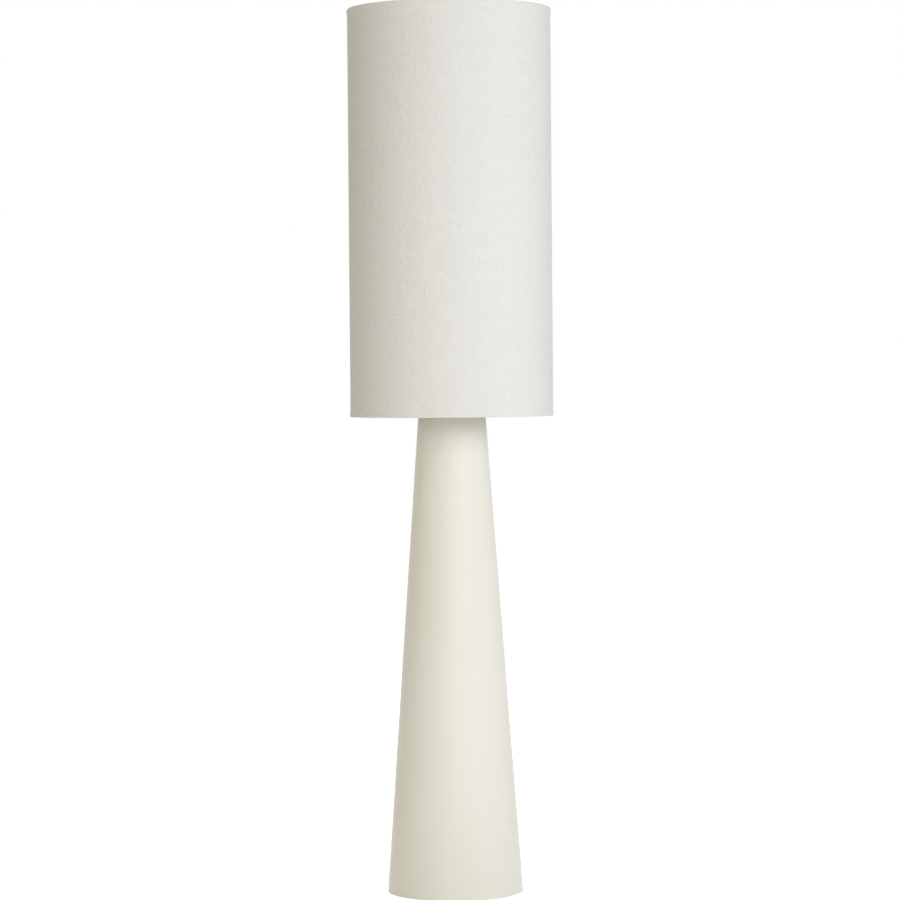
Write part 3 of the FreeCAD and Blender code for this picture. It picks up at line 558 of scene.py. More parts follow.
@dataclass(frozen=True)
class CastIron:
    """Sand-cast iron: dark, with a grainy skin, pits and a breath of rust."""

    name: str = "sand_cast_iron"
    iron: Rgb = tone(62, 61, 60)
    rust: Rgb = tone(104, 66, 44)
    sand: float = 900.0
    sand_depth: float = 0.00012
    pits: float = 260.0
    pit_depth: float = 0.0003
    blooms: float = 28.0

    def material(self) -> Material:
        """Mixes the finish.

        Returns:
            The material.
        """
        mix = Recipe(self.name)
        sand = mix.noise(self.sand, 4.0, 0.7)
        pits = mix.step(mix.noise(self.pits), 0.6, 0.72)
        bloom = mix.step(mix.noise(self.blooms, 6.0, 0.7), 0.52, 0.8, 0.0, 0.75)
        grainy = mix.relief(sand, self.sand_depth, 0.7)
        return mix.finish({
            "Base Color": mix.blend(bloom, self.iron, self.rust),
            "Metallic": 0.35,
            "Roughness": mix.step(sand, 0.2, 0.8, 0.55, 0.85),
            "Normal": mix.relief(mix.math("SUBTRACT", 1.0, pits), self.pit_depth, 0.7, grainy),
        })


@dataclass(frozen=True)
class Felt:
    """Pressed wool felt: mottled, matt, with a tangle of short fibres."""

    name: str = "wool_felt"
    wool: Rgb = tone(196, 190, 178)
    dark: Rgb = tone(148, 141, 128)
    lint: float = 120.0
    nap: Stretch = (2400.0, 700.0, 1600.0)
    cross_nap: Stretch = (600.0, 2300.0, 1500.0)
    nap_depth: float = 0.0004

    def material(self) -> Material:
        """Mixes the finish.

        Returns:
            The material.
        """
        mix = Recipe(self.name)
        lint = mix.noise(self.lint, 5.0, 0.7)
        fibres = mix.noise(1.0, 3.0, 0.7, mix.place(*self.nap))
        crossed = mix.noise(1.0, 3.0, 0.7, mix.place(*self.cross_nap))
        tangle = mix.math("MAXIMUM", fibres, crossed)
        shade = mix.math("MULTIPLY_ADD", tangle, 0.7, mix.math("MULTIPLY", lint, 0.4))
        return mix.finish({
            "Base Color": mix.blend(shade, self.dark, self.wool),
            "Roughness": 0.95,
            "Sheen Weight": 0.35,
            "Sheen Roughness": 0.5,
            "Normal": mix.relief(tangle, self.nap_depth, 0.8),
        })


@dataclass(frozen=True)
class Linen:
    """Plain-woven linen: uneven yarns, slubs both ways, darker specks of flax, and painted shading.
    """

    name: str = "slubby_linen"
    pale: Rgb = tone(236, 234, 230)
    deep: Rgb = tone(221, 216, 207)
    # colour of the flax specks, also used as the painted shadow beside each slub
    flax_and_slub_shadow: Rgb = tone(192, 183, 164)
    # painted highlight on the lit side of each slub
    painted_slub_highlight: Rgb = tone(247, 246, 243)
    warp_pitch: float = 0.00062
    weft_pitch: float = 0.00066
    slub_pitch: float = 0.0042
    slub_band: float = 0.12
    weave_depth: float = 0.00010
    slub_depth: float = 0.0003
    cockle_depth: float = 0.0035
    waver: float = 42.0
    waver_reach: float = 0.0022
    drift: float = 75.0
    own_share: float = 0.2
    clouds: float = 48.0
    cockles: float = 85.0
    specks: float = 150.0
    contrast: float = 0.3

    def rows(self, mix: Recipe, along: Socket, across: Socket, pitch: float, spread: float,
             seed: float) -> tuple[Socket, Socket, Socket, Socket]:
        """Splits the cloth into parallel rows.

        Args:
            mix: the tree.
            along: place along the rows, in blobs of their noise.
            across: distance across them.
            pitch: from one row to the next.
            spread: keeps the noise of neighbouring rows apart.
            seed: keeps the sets of rows unlike each other.

        Returns:
            Each row's number, the place across it from 0 to 1, a random value of its own, and
            the coordinates of a noise that runs along it.
        """
        count = mix.math("DIVIDE", across, pitch)
        row = mix.math("FLOOR", count)
        own = mix.node("ShaderNodeTexWhiteNoise", {"W": mix.math("ADD", row, seed)},
                       noise_dimensions="1D").outputs[0]
        spot = mix.node("ShaderNodeCombineXYZ", {0: along, 1: mix.math("MULTIPLY", row, spread),
                                                 2: seed}).outputs[0]
        return row, mix.math("FRACT", count), own, spot

    def yarns(self, mix: Recipe, along: Socket, across: Socket, pitch: float,
              seed: float) -> tuple[Socket, Socket, Socket]:
        """One set of parallel yarns.

        Args:
            mix: the tree.
            along: distance along the yarns.
            across: distance across them, already a little unsteady.
            pitch: from one yarn to the next.
            seed: keeps the two sets unlike each other.

        Returns:
            The yarns' rounded height, their number, and a tone of their own.
        """
        number, turn, own, spot = self.rows(mix, mix.math("MULTIPLY", along, self.drift), across,
                                            pitch, 7.31, seed)
        rounded = mix.math("SINE", mix.math("MULTIPLY", turn, math.pi))
        shade = mix.math("MULTIPLY_ADD", own, self.own_share,
                         mix.math("MULTIPLY", mix.noise(1.0, spot=spot), 1.0 - self.own_share))
        return rounded, number, shade

    def slubs(self, mix: Recipe, along: Socket, across: Socket, length: float, seed: float,
              low: float) -> tuple[Socket, Socket]:
        """Thick places in single yarns, each with a painted shadow on one side and a painted
        highlight on the other.

        Args:
            mix: the tree.
            along: distance along the yarns.
            across: distance across them.
            length: typical length of a thick place.
            seed: keeps the sets unlike each other.
            low: how high the noise has to be to count, so how rare they are.

        Returns:
            Their painted shading, -1 for highlight to 1 for shadow, and their height from 0 to 1.
        """
        _, turn, own, spot = self.rows(mix, mix.math("DIVIDE", along, length), across,
                                       self.slub_pitch, 5.77, seed)
        thick = mix.step(mix.noise(1.0, 1.0, spot=spot), low, low + self.slub_band)
        side = mix.math("SIGN", mix.math("SUBTRACT", own, 0.5))
        wave = mix.math("SINE", mix.math("MULTIPLY", turn, FULL_TURN))
        shaded = mix.math("MULTIPLY", side, wave)
        raised = mix.math("SINE", mix.math("MULTIPLY", turn, math.pi))
        return mix.math("MULTIPLY", thick, shaded), mix.math("MULTIPLY", thick, raised)

    def material(self) -> Material:
        """Mixes the finish on the cover's own map, which is laid out in metres.

        Returns:
            The material.
        """
        mix = Recipe(self.name)
        cloth = mix.node("ShaderNodeUVMap", uv_map="cloth").outputs[0]
        split = mix.node("ShaderNodeSeparateXYZ", {0: cloth})
        u, v = split.outputs[0], split.outputs[1]
        unsteady = mix.node("ShaderNodeTexNoise", {"Vector": cloth, "Scale": self.waver,
                                                   "Detail": 3.0})
        drift = mix.node("ShaderNodeSeparateColor", {0: unsteady.outputs[1]})
        u_yarn = mix.math("MULTIPLY_ADD", drift.outputs[0], self.waver_reach, u)
        v_yarn = mix.math("MULTIPLY_ADD", drift.outputs[1], self.waver_reach, v)
        warp, warp_number, warp_tone = self.yarns(mix, v, u_yarn, self.warp_pitch, 11.0)
        weft, weft_number, weft_tone = self.yarns(mix, u, v_yarn, self.weft_pitch, 57.0)
        parity = mix.math("MODULO", mix.math("ADD", warp_number, weft_number), 2.0)
        over = mix.math("ABSOLUTE", parity)
        lift = mix.math("MULTIPLY_ADD", over, 0.5, 0.35)
        sink = mix.math("MULTIPLY_ADD", over, -0.5, 0.85)
        warp_height = mix.math("MULTIPLY", warp, lift)
        weft_height = mix.math("MULTIPLY", weft, sink)
        warp_on_top = mix.math("GREATER_THAN", warp_height, weft_height)
        weave = mix.math("MAXIMUM", warp_height, weft_height)
        yarn_tone = mix.node("ShaderNodeMix", {0: warp_on_top, 2: weft_tone, 3: warp_tone},
                             data_type="FLOAT").outputs[0]

        # each slub gets a painted shadow on one side and a painted highlight on the other
        cross_slub_shading, cross_height = self.slubs(mix, u_yarn, v_yarn, 0.026, 3.0, 0.645)
        upright_slub_shading, upright_height = self.slubs(mix, v_yarn, u_yarn, 0.022, 8.0, 0.66)
        slub_light_and_shade = mix.math("ADD", cross_slub_shading, upright_slub_shading)
        slub_height = mix.math("MAXIMUM", cross_height, upright_height)
        squat = mix.node("ShaderNodeMapping", {"Vector": cloth, "Scale": (1.0, 1.6, 1.0)})
        specks = mix.step(mix.noise(self.specks, spot=squat.outputs[0]), 0.72, 0.80)
        cloudy = mix.noise(self.clouds, 3.0, 0.65, cloth)
        cockle = mix.noise(self.cockles, spot=cloth)

        plain = mix.blend(mix.step(yarn_tone, 0.0, 1.0), self.pale, self.deep)
        # painted shade: the cloth is darkened where the weave is low, in the hollows between the
        # yarns
        weave_hollow_shade = mix.step(weave, 0.05, 0.55, 0.08, 0.0)
        woven = mix.blend(weave_hollow_shade, plain, self.deep)
        clouded = mix.blend(mix.step(cloudy, 0.35, 0.7, 0.0, 0.32), woven, self.deep)
        # painted shading: each slub's shadowed side takes the flax colour and its lit side the pale
        # highlight
        darker = mix.blend(mix.step(slub_light_and_shade, 0.0, 1.0, 0.0, self.contrast), clouded, self.flax_and_slub_shadow)
        paler = mix.blend(mix.step(slub_light_and_shade, 0.0, -1.0, 0.0, self.contrast), darker, self.painted_slub_highlight)
        colour = mix.blend(mix.math("MULTIPLY", specks, self.contrast), paler, self.flax_and_slub_shadow)

        cockled = mix.relief(cockle, self.cockle_depth, 0.5)
        slubbed = mix.relief(slub_height, self.slub_depth, 0.5, cockled)
        return mix.finish({
            "Base Color": colour,
            "Roughness": mix.step(weave, 0.1, 0.9, 0.95, 0.8),
            "Specular IOR Level": 0.3,
            "Sheen Weight": 0.12,
            "Sheen Roughness": 0.55,
            "Normal": mix.relief(weave, self.weave_depth, 0.5, slubbed),
        })


@dataclass(frozen=True)
class Glass:
    """Opal glass: white through and through under a clear gloss."""

    name: str = "opal_glass"
    white: Rgb = tone(244, 243, 239)
    milky: Rgb = tone(234, 233, 227)
    milk: float = 24.0
    ripples: float = 90.0
    ripple_depth: float = 0.00002

    def material(self) -> Material:
        """Mixes the finish.

        Returns:
            The material.
        """
        mix = Recipe(self.name)
        milk = mix.step(mix.noise(self.milk, 3.0), 0.35, 0.7)
        ripple = mix.noise(self.ripples)
        return mix.finish({
            "Base Color": mix.blend(milk, self.white, self.milky),
            "Roughness": mix.step(ripple, 0.3, 0.7, 0.2, 0.26),
            "Coat Weight": 0.6,
            "Coat Roughness": 0.05,
            "Normal": mix.relief(ripple, self.ripple_depth, 0.3),
        })


@dataclass(frozen=True)
class Lining:
    """Stiff white shade lining, with the cloth behind it showing through as a faint grain."""

    name: str = "lining_sheet"
    white: Rgb = tone(240, 238, 230)
    warm: Rgb = tone(228, 223, 210)
    weft: Stretch = (140.0, 140.0, 900.0)
    warp: Stretch = (900.0, 900.0, 110.0)
    grain_depth: float = 0.00003

    def material(self) -> Material:
        """Mixes the finish.

        Returns:
            The material.
        """
        mix = Recipe(self.name)
        yarn = mix.noise(1.0, 3.0, 0.6, mix.place(*self.weft))
        fibre = mix.noise(1.0, 2.0, 0.6, mix.place(*self.warp))
        show = mix.math("MULTIPLY", mix.math("ADD", yarn, fibre), 0.5)
        return mix.finish({
            "Base Color": mix.blend(mix.step(show, 0.4, 0.62), self.white, self.warm),
            "Roughness": mix.step(yarn, 0.3, 0.7, 0.42, 0.52),
            "Normal": mix.relief(show, self.grain_depth, 0.4),
        })


BRASS = tone(222, 193, 138)
OLD_BRASS = tone(176, 141, 88)
NICKEL = tone(206, 203, 196)
DULL_NICKEL = tone(158, 155, 148)
ZINC = tone(186, 189, 192)
DULL_ZINC = tone(136, 140, 144)


Finish = Union[SatinPaint, Metal, Coating, CastIron, Felt, Linen, Glass, Lining]


def mixed(finish: Finish) -> Material:
    """A field whose value is the finish's material, mixed when the lamp is built."""
    return field(default_factory=finish.material)


@dataclass
class Finishes:
    """Every finish of the lamp, mixed once."""

    paint: Material = mixed(SatinPaint("cream_paint", tone(234, 230, 217), tone(230, 226, 212)))
    linen: Material = mixed(Linen())
    lining: Material = mixed(Lining())
    turned_brass: Material = mixed(Metal("turned_brass", BRASS, OLD_BRASS, Grain.TURNED, 0.26))
    drawn_brass: Material = mixed(Metal("drawn_brass", BRASS, OLD_BRASS, Grain.DRAWN))
    stamped_brass: Material = mixed(Metal("stamped_brass", BRASS, OLD_BRASS, Grain.STAMPED, 0.28))
    contact_brass: Material = mixed(Metal(
        "contact_brass", tone(236, 206, 140), tone(190, 150, 88), Grain.STAMPED, 0.34))
    cap_metal: Material = mixed(Metal("cap_metal", NICKEL, DULL_NICKEL, Grain.TURNED))
    plated_steel: Material = mixed(Metal("plated_steel", ZINC, DULL_ZINC, Grain.STAMPED, 0.38))
    turned_steel: Material = mixed(Metal("turned_steel", ZINC, DULL_ZINC, Grain.TURNED, 0.34))
    solder: Material = mixed(Metal(
        "solder", tone(200, 200, 202), tone(150, 150, 154), Grain.STAMPED, 0.36, 0.00003))
    iron: Material = mixed(CastIron())
    felt: Material = mixed(Felt())
    white_wire: Material = mixed(Coating(
        "white_wire", tone(238, 237, 231), tone(226, 224, 215), 0.36, 500.0, 0.00002))
    bushing: Material = mixed(Coating(
        "bushing_plastic", tone(226, 223, 208), tone(214, 210, 194), 0.42))
    phenolic: Material = mixed(Coating(
        "phenolic", tone(38, 34, 32), tone(58, 48, 42), 0.3, 1400.0, 0.000006, 0.25))
    fibre: Material = mixed(Coating(
        "fibre_paper", tone(176, 150, 112), tone(146, 118, 82), 0.85, 1100.0, 0.00005))
    black_glass: Material = mixed(Coating(
        "black_glass", tone(22, 20, 30), tone(34, 32, 46), 0.14, 120.0, 0.00001, 0.5))
    opal: Material = mixed(Glass())


# ---- Sub-assemblies --------------------------------------------------------------------------


@dataclass
class Foot:
    """Felt, plate, screws, weight and clamp stack, with the bushing where a cord would leave."""

    finishes: Finishes
    felt_edge: float = 0.0006
    screws: int = 4
    head_r: float = 0.0038
    head_h: float = 0.0015
    shank_r: float = 0.002
    shank_l: float = 0.012
    recess_l: float = 0.0042
    recess_w: float = 0.0009
    crown_share: float = 0.8
    lump: float = 0.006

    def build(self) -> None:
        """Builds and dresses the foot."""
        self.felt_disc()
        self.base_screws()
        dress(self.finishes.plated_steel, "base_plate", "bottom_washer", "bottom_nut")
        dress(self.finishes.turned_steel, "centre_pipe")
        dress(self.finishes.iron, "base_weight")
        dress(self.finishes.bushing, "cord_bushing")

    def felt_disc(self) -> None:
        """A felt disc with a soft, slightly uneven edge."""
        low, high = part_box("felt_pad")
        radius = high.x - self.felt_edge
        edge = (high.z - low.z) / 2
        outline = [(0.0, low.z), *run((0.0, low.z), (radius - edge, low.z), 10)]
        outline += arc((radius - edge, low.z + edge), edge, -90, 90, 8)
        outline += [*run((radius - edge, high.z), (0.0, high.z), 10), (0.0, high.z)]
        disc = turned("felt_disc", outline, steps=128, closed=False)
        clouds = bpy.data.textures.new("felt_lumps", "CLOUDS")
        clouds.noise_scale = self.lump
        rim = disc.vertex_groups.new(name="rim")
        rim.add([p.index for p in disc.data.vertices if radius_of(p.co) > radius - edge / 2],
                1.0, "REPLACE")
        fit_modifier(disc, "DISPLACE", texture=clouds, texture_coords="LOCAL", mid_level=0.5,
                     strength=self.felt_edge, vertex_group="rim")
        smooth(disc, degrees=60)
        mount(disc, "base", "felt", self.finishes.felt, "felt_pad")

    def base_screws(self) -> None:
        """Pan-head screws with a cross recess, one modelled and the rest copied round."""
        low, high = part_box("base_screws")
        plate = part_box("base_plate")[0].z
        ring = math.hypot(high.x - self.head_r, high.y - self.head_r)
        crown = self.crown_share * self.head_h
        outline = [(0.0, low.z), *run((0.0, low.z), (self.head_r - crown, low.z), 3)]
        outline += arc((self.head_r - crown, low.z + crown), crown, -90, 0, 6)
        outline += [(self.head_r, plate), (self.shank_r, plate),
                    (self.shank_r, plate + self.shank_l - self.shank_r / 2),
                    (self.shank_r / 2, plate + self.shank_l), (0.0, plate + self.shank_l)]
        screw = turned("base_screw_heads", outline, steps=32, closed=False)
        for turn in (0.0, QUARTER_TURN):
            blade = added(bpy.ops.mesh.primitive_cube_add, size=1, location=(0, 0, low.z),
                          rotation=(0, 0, turn))
            blade.scale = (self.recess_l, self.recess_w, self.head_h)
            settle(blade)
            with editing(blade):
                bpy.ops.mesh.bevel(offset=self.recess_w / 6, segments=2)
            cut_away(screw, blade)
        shift_points(screw, lambda spot: spot + Vector((ring, 0, 0)))
        with editing(screw):
            bpy.ops.transform.rotate(value=-FULL_TURN / self.screws / 2, orient_axis="Z",
                                     center_override=(0, 0, 0))
            for _ in range(self.screws - 1):
                bpy.ops.mesh.duplicate()
                bpy.ops.transform.rotate(value=-FULL_TURN / self.screws, orient_axis="Z",
                                         center_override=(0, 0, 0))
        smooth(screw)
        mount(screw, "base", "plated_steel", self.finishes.plated_steel, "base_screws")


@dataclass
class Column:
    """The tapered column and the cap that closes its top."""

    finishes: Finishes
    wall: float = 0.0012
    edge: float = 0.0006
    rows: int = 22
    steps: int = 240
    hole_r: float = 0.006
    hole_z: float = 0.017
    drill_l: float = 12 * 0.0012

    def build(self) -> None:
        """Builds and dresses the column."""
        self.body()
        dress(self.finishes.paint, "top_cap")

    def body(self) -> None:
        """The painted cone, with a hole low in its back for the bushing."""
        low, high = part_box("column_shell")
        foot_r = high.x
        top_r = self.top_radius()
        slope = (foot_r - top_r) / (high.z - low.z)
        near_hole = [(foot_r - slope * (z - low.z), z)
                     for z in (self.hole_z - 2 * self.hole_r, self.hole_z + 2 * self.hole_r)]
        end = (top_r + slope * self.edge, high.z - self.edge)
        outline = arc((foot_r - self.edge, low.z + self.edge), self.edge, -90, 0, 5)
        outline += near_hole + run(near_hole[-1], end, self.rows)
        outline += arc((top_r - self.edge, high.z - self.edge), self.edge, 0, 90, 5)
        outline += [(top_r - self.wall, high.z)]
        inner_low = (foot_r - self.wall, low.z)
        outline += [*run((top_r - self.wall, high.z), inner_low, self.rows // 2), inner_low]
        cone = turned("column_body", outline, self.steps)
        wall_y = foot_r - slope * self.edge - slope * self.hole_z - self.wall / 2
        drill = added(bpy.ops.mesh.primitive_cylinder_add, vertices=48, radius=self.hole_r,
                      depth=self.drill_l, location=(0, wall_y, self.hole_z),
                      rotation=(QUARTER_TURN - math.atan(slope), 0, 0))
        with editing(drill):
            bpy.ops.mesh.subdivide(number_cuts=1)
        cut_away(cone, drill)
        smooth(cone, degrees=25)
        mount(cone, "base", "cream_paint", self.finishes.paint, "column_shell")

    def top_radius(self) -> float:
        """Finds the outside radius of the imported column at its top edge.

        Returns:
            The radius.
        """
        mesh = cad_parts["column_shell"].data
        top = max(p.co.z for p in mesh.vertices)
        return max(radius_of(p.co) for p in mesh.vertices if p.co.z > top - 2 * self.edge)


@dataclass
class Riser:
    """Collar, tube and saddle between the column and the socket."""

    finishes: Finishes

    def build(self) -> None:
        """Dresses the riser."""
        dress(self.finishes.turned_brass, "riser_collar")
        dress(self.finishes.drawn_brass, "riser_tube")
        dress(self.finishes.stamped_brass, "harp_saddle")


@dataclass
class HarpRig:
    """Harp, locking sleeves, swivel post, washer and finial."""

    finishes: Finishes
    pitch: float = 0.0254 / 27
    thread_depth: float = 0.0003
    head_r: float = 0.0045
    head_h: float = 0.0016
    stud_r: float = 0.0031
    flange_h: float = 0.0025
    stud_h: float = 0.016
    chamfer: float = 0.0007
    rows_a_turn: int = 8
    round_share: float = 0.6

    def build(self) -> None:
        """Builds and dresses the harp and what it carries."""
        self.post()
        dress(self.finishes.stamped_brass, "harp", "finial_washer")
        dress(self.finishes.turned_brass, "harp_sleeve_left", "harp_sleeve_right", "finial")

    def post(self) -> None:
        """The swivel post, with a real thread on its stud."""
        low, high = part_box("harp_post")
        flange_top = high.z - self.stud_h
        flange_low = flange_top - self.flange_h
        flange_r = high.x
        head_top = low.z + self.head_h
        round_r = self.round_share * self.head_h
        outline = [(0.0, low.z)]
        outline += arc((self.head_r - round_r, low.z + round_r), round_r, -90, 0, 5)
        outline += [(self.head_r, head_top), (self.stud_r, head_top), (self.stud_r, flange_low)]
        soft = self.flange_h / 6
        outline += arc((flange_r - soft, flange_low + soft), soft, -90, 0, 3)
        outline += arc((flange_r - soft, flange_top - soft), soft, 0, 90, 3)
        rows = round((self.stud_h - self.chamfer) / self.pitch * self.rows_a_turn)
        foot, tip = (self.stud_r, flange_top), (self.stud_r, high.z - self.chamfer)
        outline += [foot, *run(foot, tip, rows), tip]
        outline += [(self.stud_r - self.chamfer, high.z), (0.0, high.z)]
        post = turned("swivel_post", outline, steps=48, closed=False)
        shift_points(post, lambda spot: self.on_thread(spot, flange_top, high.z - self.chamfer))
        smooth(post, degrees=40)
        mount(post, "post", "satin_brass", self.finishes.turned_brass, "harp_post")

    def on_thread(self, spot: Vector, foot: float, tip: float) -> Vector:
        """Where a point of the plain stud lies once the thread is cut.

        Args:
            spot: the point.
            foot: height where the thread starts.
            tip: height where it ends.

        Returns:
            The point on the thread.
        """
        if not foot < spot.z <= tip or radius_of(spot) < self.stud_r * 0.9:
            return spot
        run_out = min(1.0, (spot.z - foot) / self.pitch)
        phase = (spot.z - foot) / self.pitch - round_the_axis(spot) / FULL_TURN
        groove = abs(2 * (phase % 1.0) - 1)
        share = 1 - self.thread_depth * run_out * groove / radius_of(spot)
        return Vector((spot.x * share, spot.y * share, spot.z))


@dataclass
class DrumShade:
    """The linen drum: cover, lining, rings and spider."""

    finishes: Finishes
    cover_t: float = 0.0008
    hem_h: float = 0.009
    hem_proud: float = 0.0007
    hem_round: float = 0.0013
    hem_reach: float = 0.00665
    wall_rows: int = 34
    seam_steps: int = 3
    seam_w: float = 0.012
    seam_proud: float = 0.0005
    seam_slope: float = 0.45
    notch_gap: float = 0.0008
    arms: int = 3
    arm_r: float = 0.0015
    ring_drop: float = 0.00265
    ripple: float = 0.0003
    ripple_l: float = 0.06
    near: float = 0.0001
    lining_t: float = 0.0006
    lining_lap: float = 0.0004

    def build(self) -> None:
        """Builds and dresses the shade."""
        self.cover()
        self.lining()
        dress(self.finishes.white_wire, "spider", "shade_top_ring", "shade_bottom_ring")

    def steps(self, radius: float) -> int:
        """Faces round the drum, so that the seam is a whole number of them wide."""
        return round(FULL_TURN * radius / self.seam_w * self.seam_steps)

    def first_row(self, steps: int) -> float:
        """Angle of the first row of points, which is one side of the seam."""
        return QUARTER_TURN - FULL_TURN * self.seam_steps / steps / 2

    def cover(self) -> None:
        """The linen, turned over both rings, with a lapped seam down the back."""
        low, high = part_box("shade_cover")
        hem_r = high.x
        drum_r = hem_r - self.hem_proud
        wall_r = drum_r - self.cover_t
        inside_r = hem_r - self.hem_reach
        steps = self.steps(drum_r)
        cover = turned("linen_cover", self.outline(low.z, high.z, hem_r, drum_r, wall_r, inside_r),
                       steps, start=self.first_row(steps))
        self.lap_seam(cover, drum_r)
        self.unsteady(cover, drum_r)
        self.snip_arms(cover, high.z, inside_r)
        self.lay_out(cover, low.z, high.z, hem_r, inside_r)
        smooth(cover, degrees=40)
        mount(cover, "shade", "linen", self.finishes.linen, "shade_cover")

    def outline(self, foot: float, top: float, hem_r: float, drum_r: float, wall_r: float,
                inside_r: float) -> list[Point]:
        """Section of the cover: up the outside and back down the inside.

        Args:
            foot: height of the lower edge.
            top: height of the upper edge.
            hem_r: outside of the turned hems.
            drum_r: outside of the drum between them.
            wall_r: inside of the drum.
            inside_r: inner face of the turned-in cloth.

        Returns:
            The closed section's points.
        """
        hem = foot + self.hem_h
        soft = self.hem_proud / 2
        bend = self.hem_round
        fold_r = inside_r + self.cover_t
        fold = bend - self.cover_t
        outer = [(inside_r, hem), *run((inside_r, hem), (inside_r, foot + bend), 3)]
        outer += arc((inside_r + bend, foot + bend), bend, 180, 270)
        outer += arc((hem_r - bend, foot + bend), bend, -90, 0)
        outer += run((hem_r, foot + bend), (hem_r, hem - soft), 3)
        outer += arc((hem_r - soft, hem - soft), soft, 0, 90, 4)
        outer += [(drum_r, hem)]
        inner = [(wall_r, foot + self.cover_t)]
        inner += arc((fold_r + fold, foot + bend), fold, 270, 180, 4)
        inner += [(fold_r, hem)]

        def upside_down(points: list[Point]) -> list[Point]:
            """The same stretch at the drum's other end, walked the other way."""
            return [(radius, top + foot - height) for radius, height in reversed(points)]

        drum = run(outer[-1], (drum_r, top - self.hem_h), self.wall_rows)
        wall = run((wall_r, top - self.cover_t), inner[0], 8)
        return outer + drum + upside_down(outer) + upside_down(inner) + wall + inner

    def lap_seam(self, cover: Piece, drum_r: float) -> None:
        """Raises the overlap down the back: a clear step on one side, a slope on the other.

        Args:
            cover: the linen.
            drum_r: outside of the drum.
        """
        half = self.seam_w / drum_r / 2
        raise_faces(cover, lambda spot, normal: abs(round_the_axis(spot) - QUARTER_TURN) < half
                    and abs(radius_of(spot) - drum_r) < self.hem_proud / 4
                    and abs(normal.z) < UPRIGHT, self.seam_proud)
        shift_points(cover, lambda spot: self.sloped(spot, drum_r, half))

    def sloped(self, spot: Vector, drum_r: float, half: float) -> Vector:
        """Where a point of the raised seam lies once the seam slopes down to one side.

        Args:
            spot: the point.
            drum_r: outside of the drum.
            half: half the seam's width as an angle.

        Returns:
            The point on the slope; a point off the seam stays where it is.
        """
        radius = radius_of(spot)
        side = (round_the_axis(spot) - QUARTER_TURN) / half
        if abs(radius - drum_r - self.seam_proud) > self.seam_proud / 4 or abs(side) > 1.1:
            return spot
        wanted = drum_r + self.seam_proud * (1 - self.seam_slope + self.seam_slope * side)
        return Vector((spot.x * wanted / radius, spot.y * wanted / radius, spot.z))

    def unsteady(self, cover: Piece, drum_r: float) -> None:
        """Lets the stretched cloth stand off its lining a hair here and there.

        Args:
            cover: the linen.
            drum_r: outside of the drum.
        """
        clouds = bpy.data.textures.new("cloth_ease", "CLOUDS")
        clouds.noise_scale = self.ripple_l
        clouds.noise_depth = 2
        outside = cover.vertex_groups.new(name="outside")
        outside.add([p.index for p in cover.data.vertices
                     if radius_of(p.co) > drum_r - self.near], 1.0, "REPLACE")
        fit_modifier(cover, "DISPLACE", texture=clouds, texture_coords="LOCAL", mid_level=0.35,
                     strength=self.ripple, vertex_group="outside")

    def snip_arms(self, cover: Piece, top: float, inside_r: float) -> None:
        """Snips the turned-in cloth where the spider's three arms pass.

        Args:
            cover: the linen.
            top: height of the upper edge.
            inside_r: inner face of the turned-in cloth.
        """
        middle_r = inside_r + self.cover_t / 2
        arm_z = top - self.ring_drop
        lower = arm_z - self.hem_h
        for arm in range(self.arms):
            turn = QUARTER_TURN + arm * FULL_TURN / self.arms
            punch = added(bpy.ops.mesh.primitive_cylinder_add, vertices=24,
                          radius=self.arm_r + self.notch_gap, depth=3 * self.cover_t,
                          location=(middle_r * math.cos(turn), middle_r * math.sin(turn), arm_z),
                          rotation=(0, QUARTER_TURN, turn))
            settle(punch)
            select_faces(punch, lambda centre, normal: normal.z < DOWNWARD)
            with editing(punch, keep=True):
                bpy.ops.mesh.extrude_region_move(
                    TRANSFORM_OT_translate={"value": (0, 0, lower - arm_z)})
            cut_away(cover, punch)

    def lay_out(self, cover: Piece, foot: float, top: float, hem_r: float,
                inside_r: float) -> None:
        """Lays the cloth out flat in metres as the map that the weave follows.

        Args:
            cover: the linen.
            foot: height of the lower edge.
            top: height of the upper edge.
            hem_r: outside of the turned hems.
            inside_r: inner face of the turned-in cloth.
        """
        mesh = cover.data
        layer = mesh.uv_layers.new(name="cloth")
        seam = QUARTER_TURN + self.seam_w / hem_r / 2
        inner = (hem_r + inside_r) / 2
        for face in mesh.polygons:
            middle = (round_the_axis(face.center) - seam) % FULL_TURN
            for loop in face.loop_indices:
                spot = mesh.vertices[mesh.loops[loop].vertex_index].co
                turn = (round_the_axis(spot) - seam) % FULL_TURN
                turn += FULL_TURN * round((middle - turn) / FULL_TURN)
                height = spot.z
                if abs(face.normal.z) > LYING:
                    height += math.copysign(hem_r - radius_of(spot), face.normal.z)
                elif radius_of(face.center) < inner:
                    edge = top if spot.z > (top + foot) / 2 else foot
                    height = 2 * edge - spot.z + math.copysign(self.hem_reach, edge - spot.z)
                layer.data[loop].uv = (turn * hem_r, height)

    def lining(self) -> None:
        """The stiff lining, lapped down the back like the cloth."""
        low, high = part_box("shade_lining")
        outside_r, inside_r = high.x, high.x - self.lining_t
        outline = [(outside_r, low.z), *run((outside_r, low.z), (outside_r, high.z), 6),
                   (outside_r, high.z), (inside_r, high.z),
                   *run((inside_r, high.z), (inside_r, low.z), 12), (inside_r, low.z)]
        steps = self.steps(outside_r)
        lining = turned("lining_sheet", outline, steps, start=self.first_row(steps))
        half = self.seam_w / outside_r / 2
        raise_faces(lining, lambda spot, normal: abs(round_the_axis(spot) - QUARTER_TURN) < half
                    and radius_of(spot) < inside_r + self.lining_t / 3
                    and abs(normal.z) < UPRIGHT, self.lining_lap)
        smooth(lining, degrees=30)
        mount(lining, "shade", "lining_plastic", self.finishes.lining, "shade_lining")


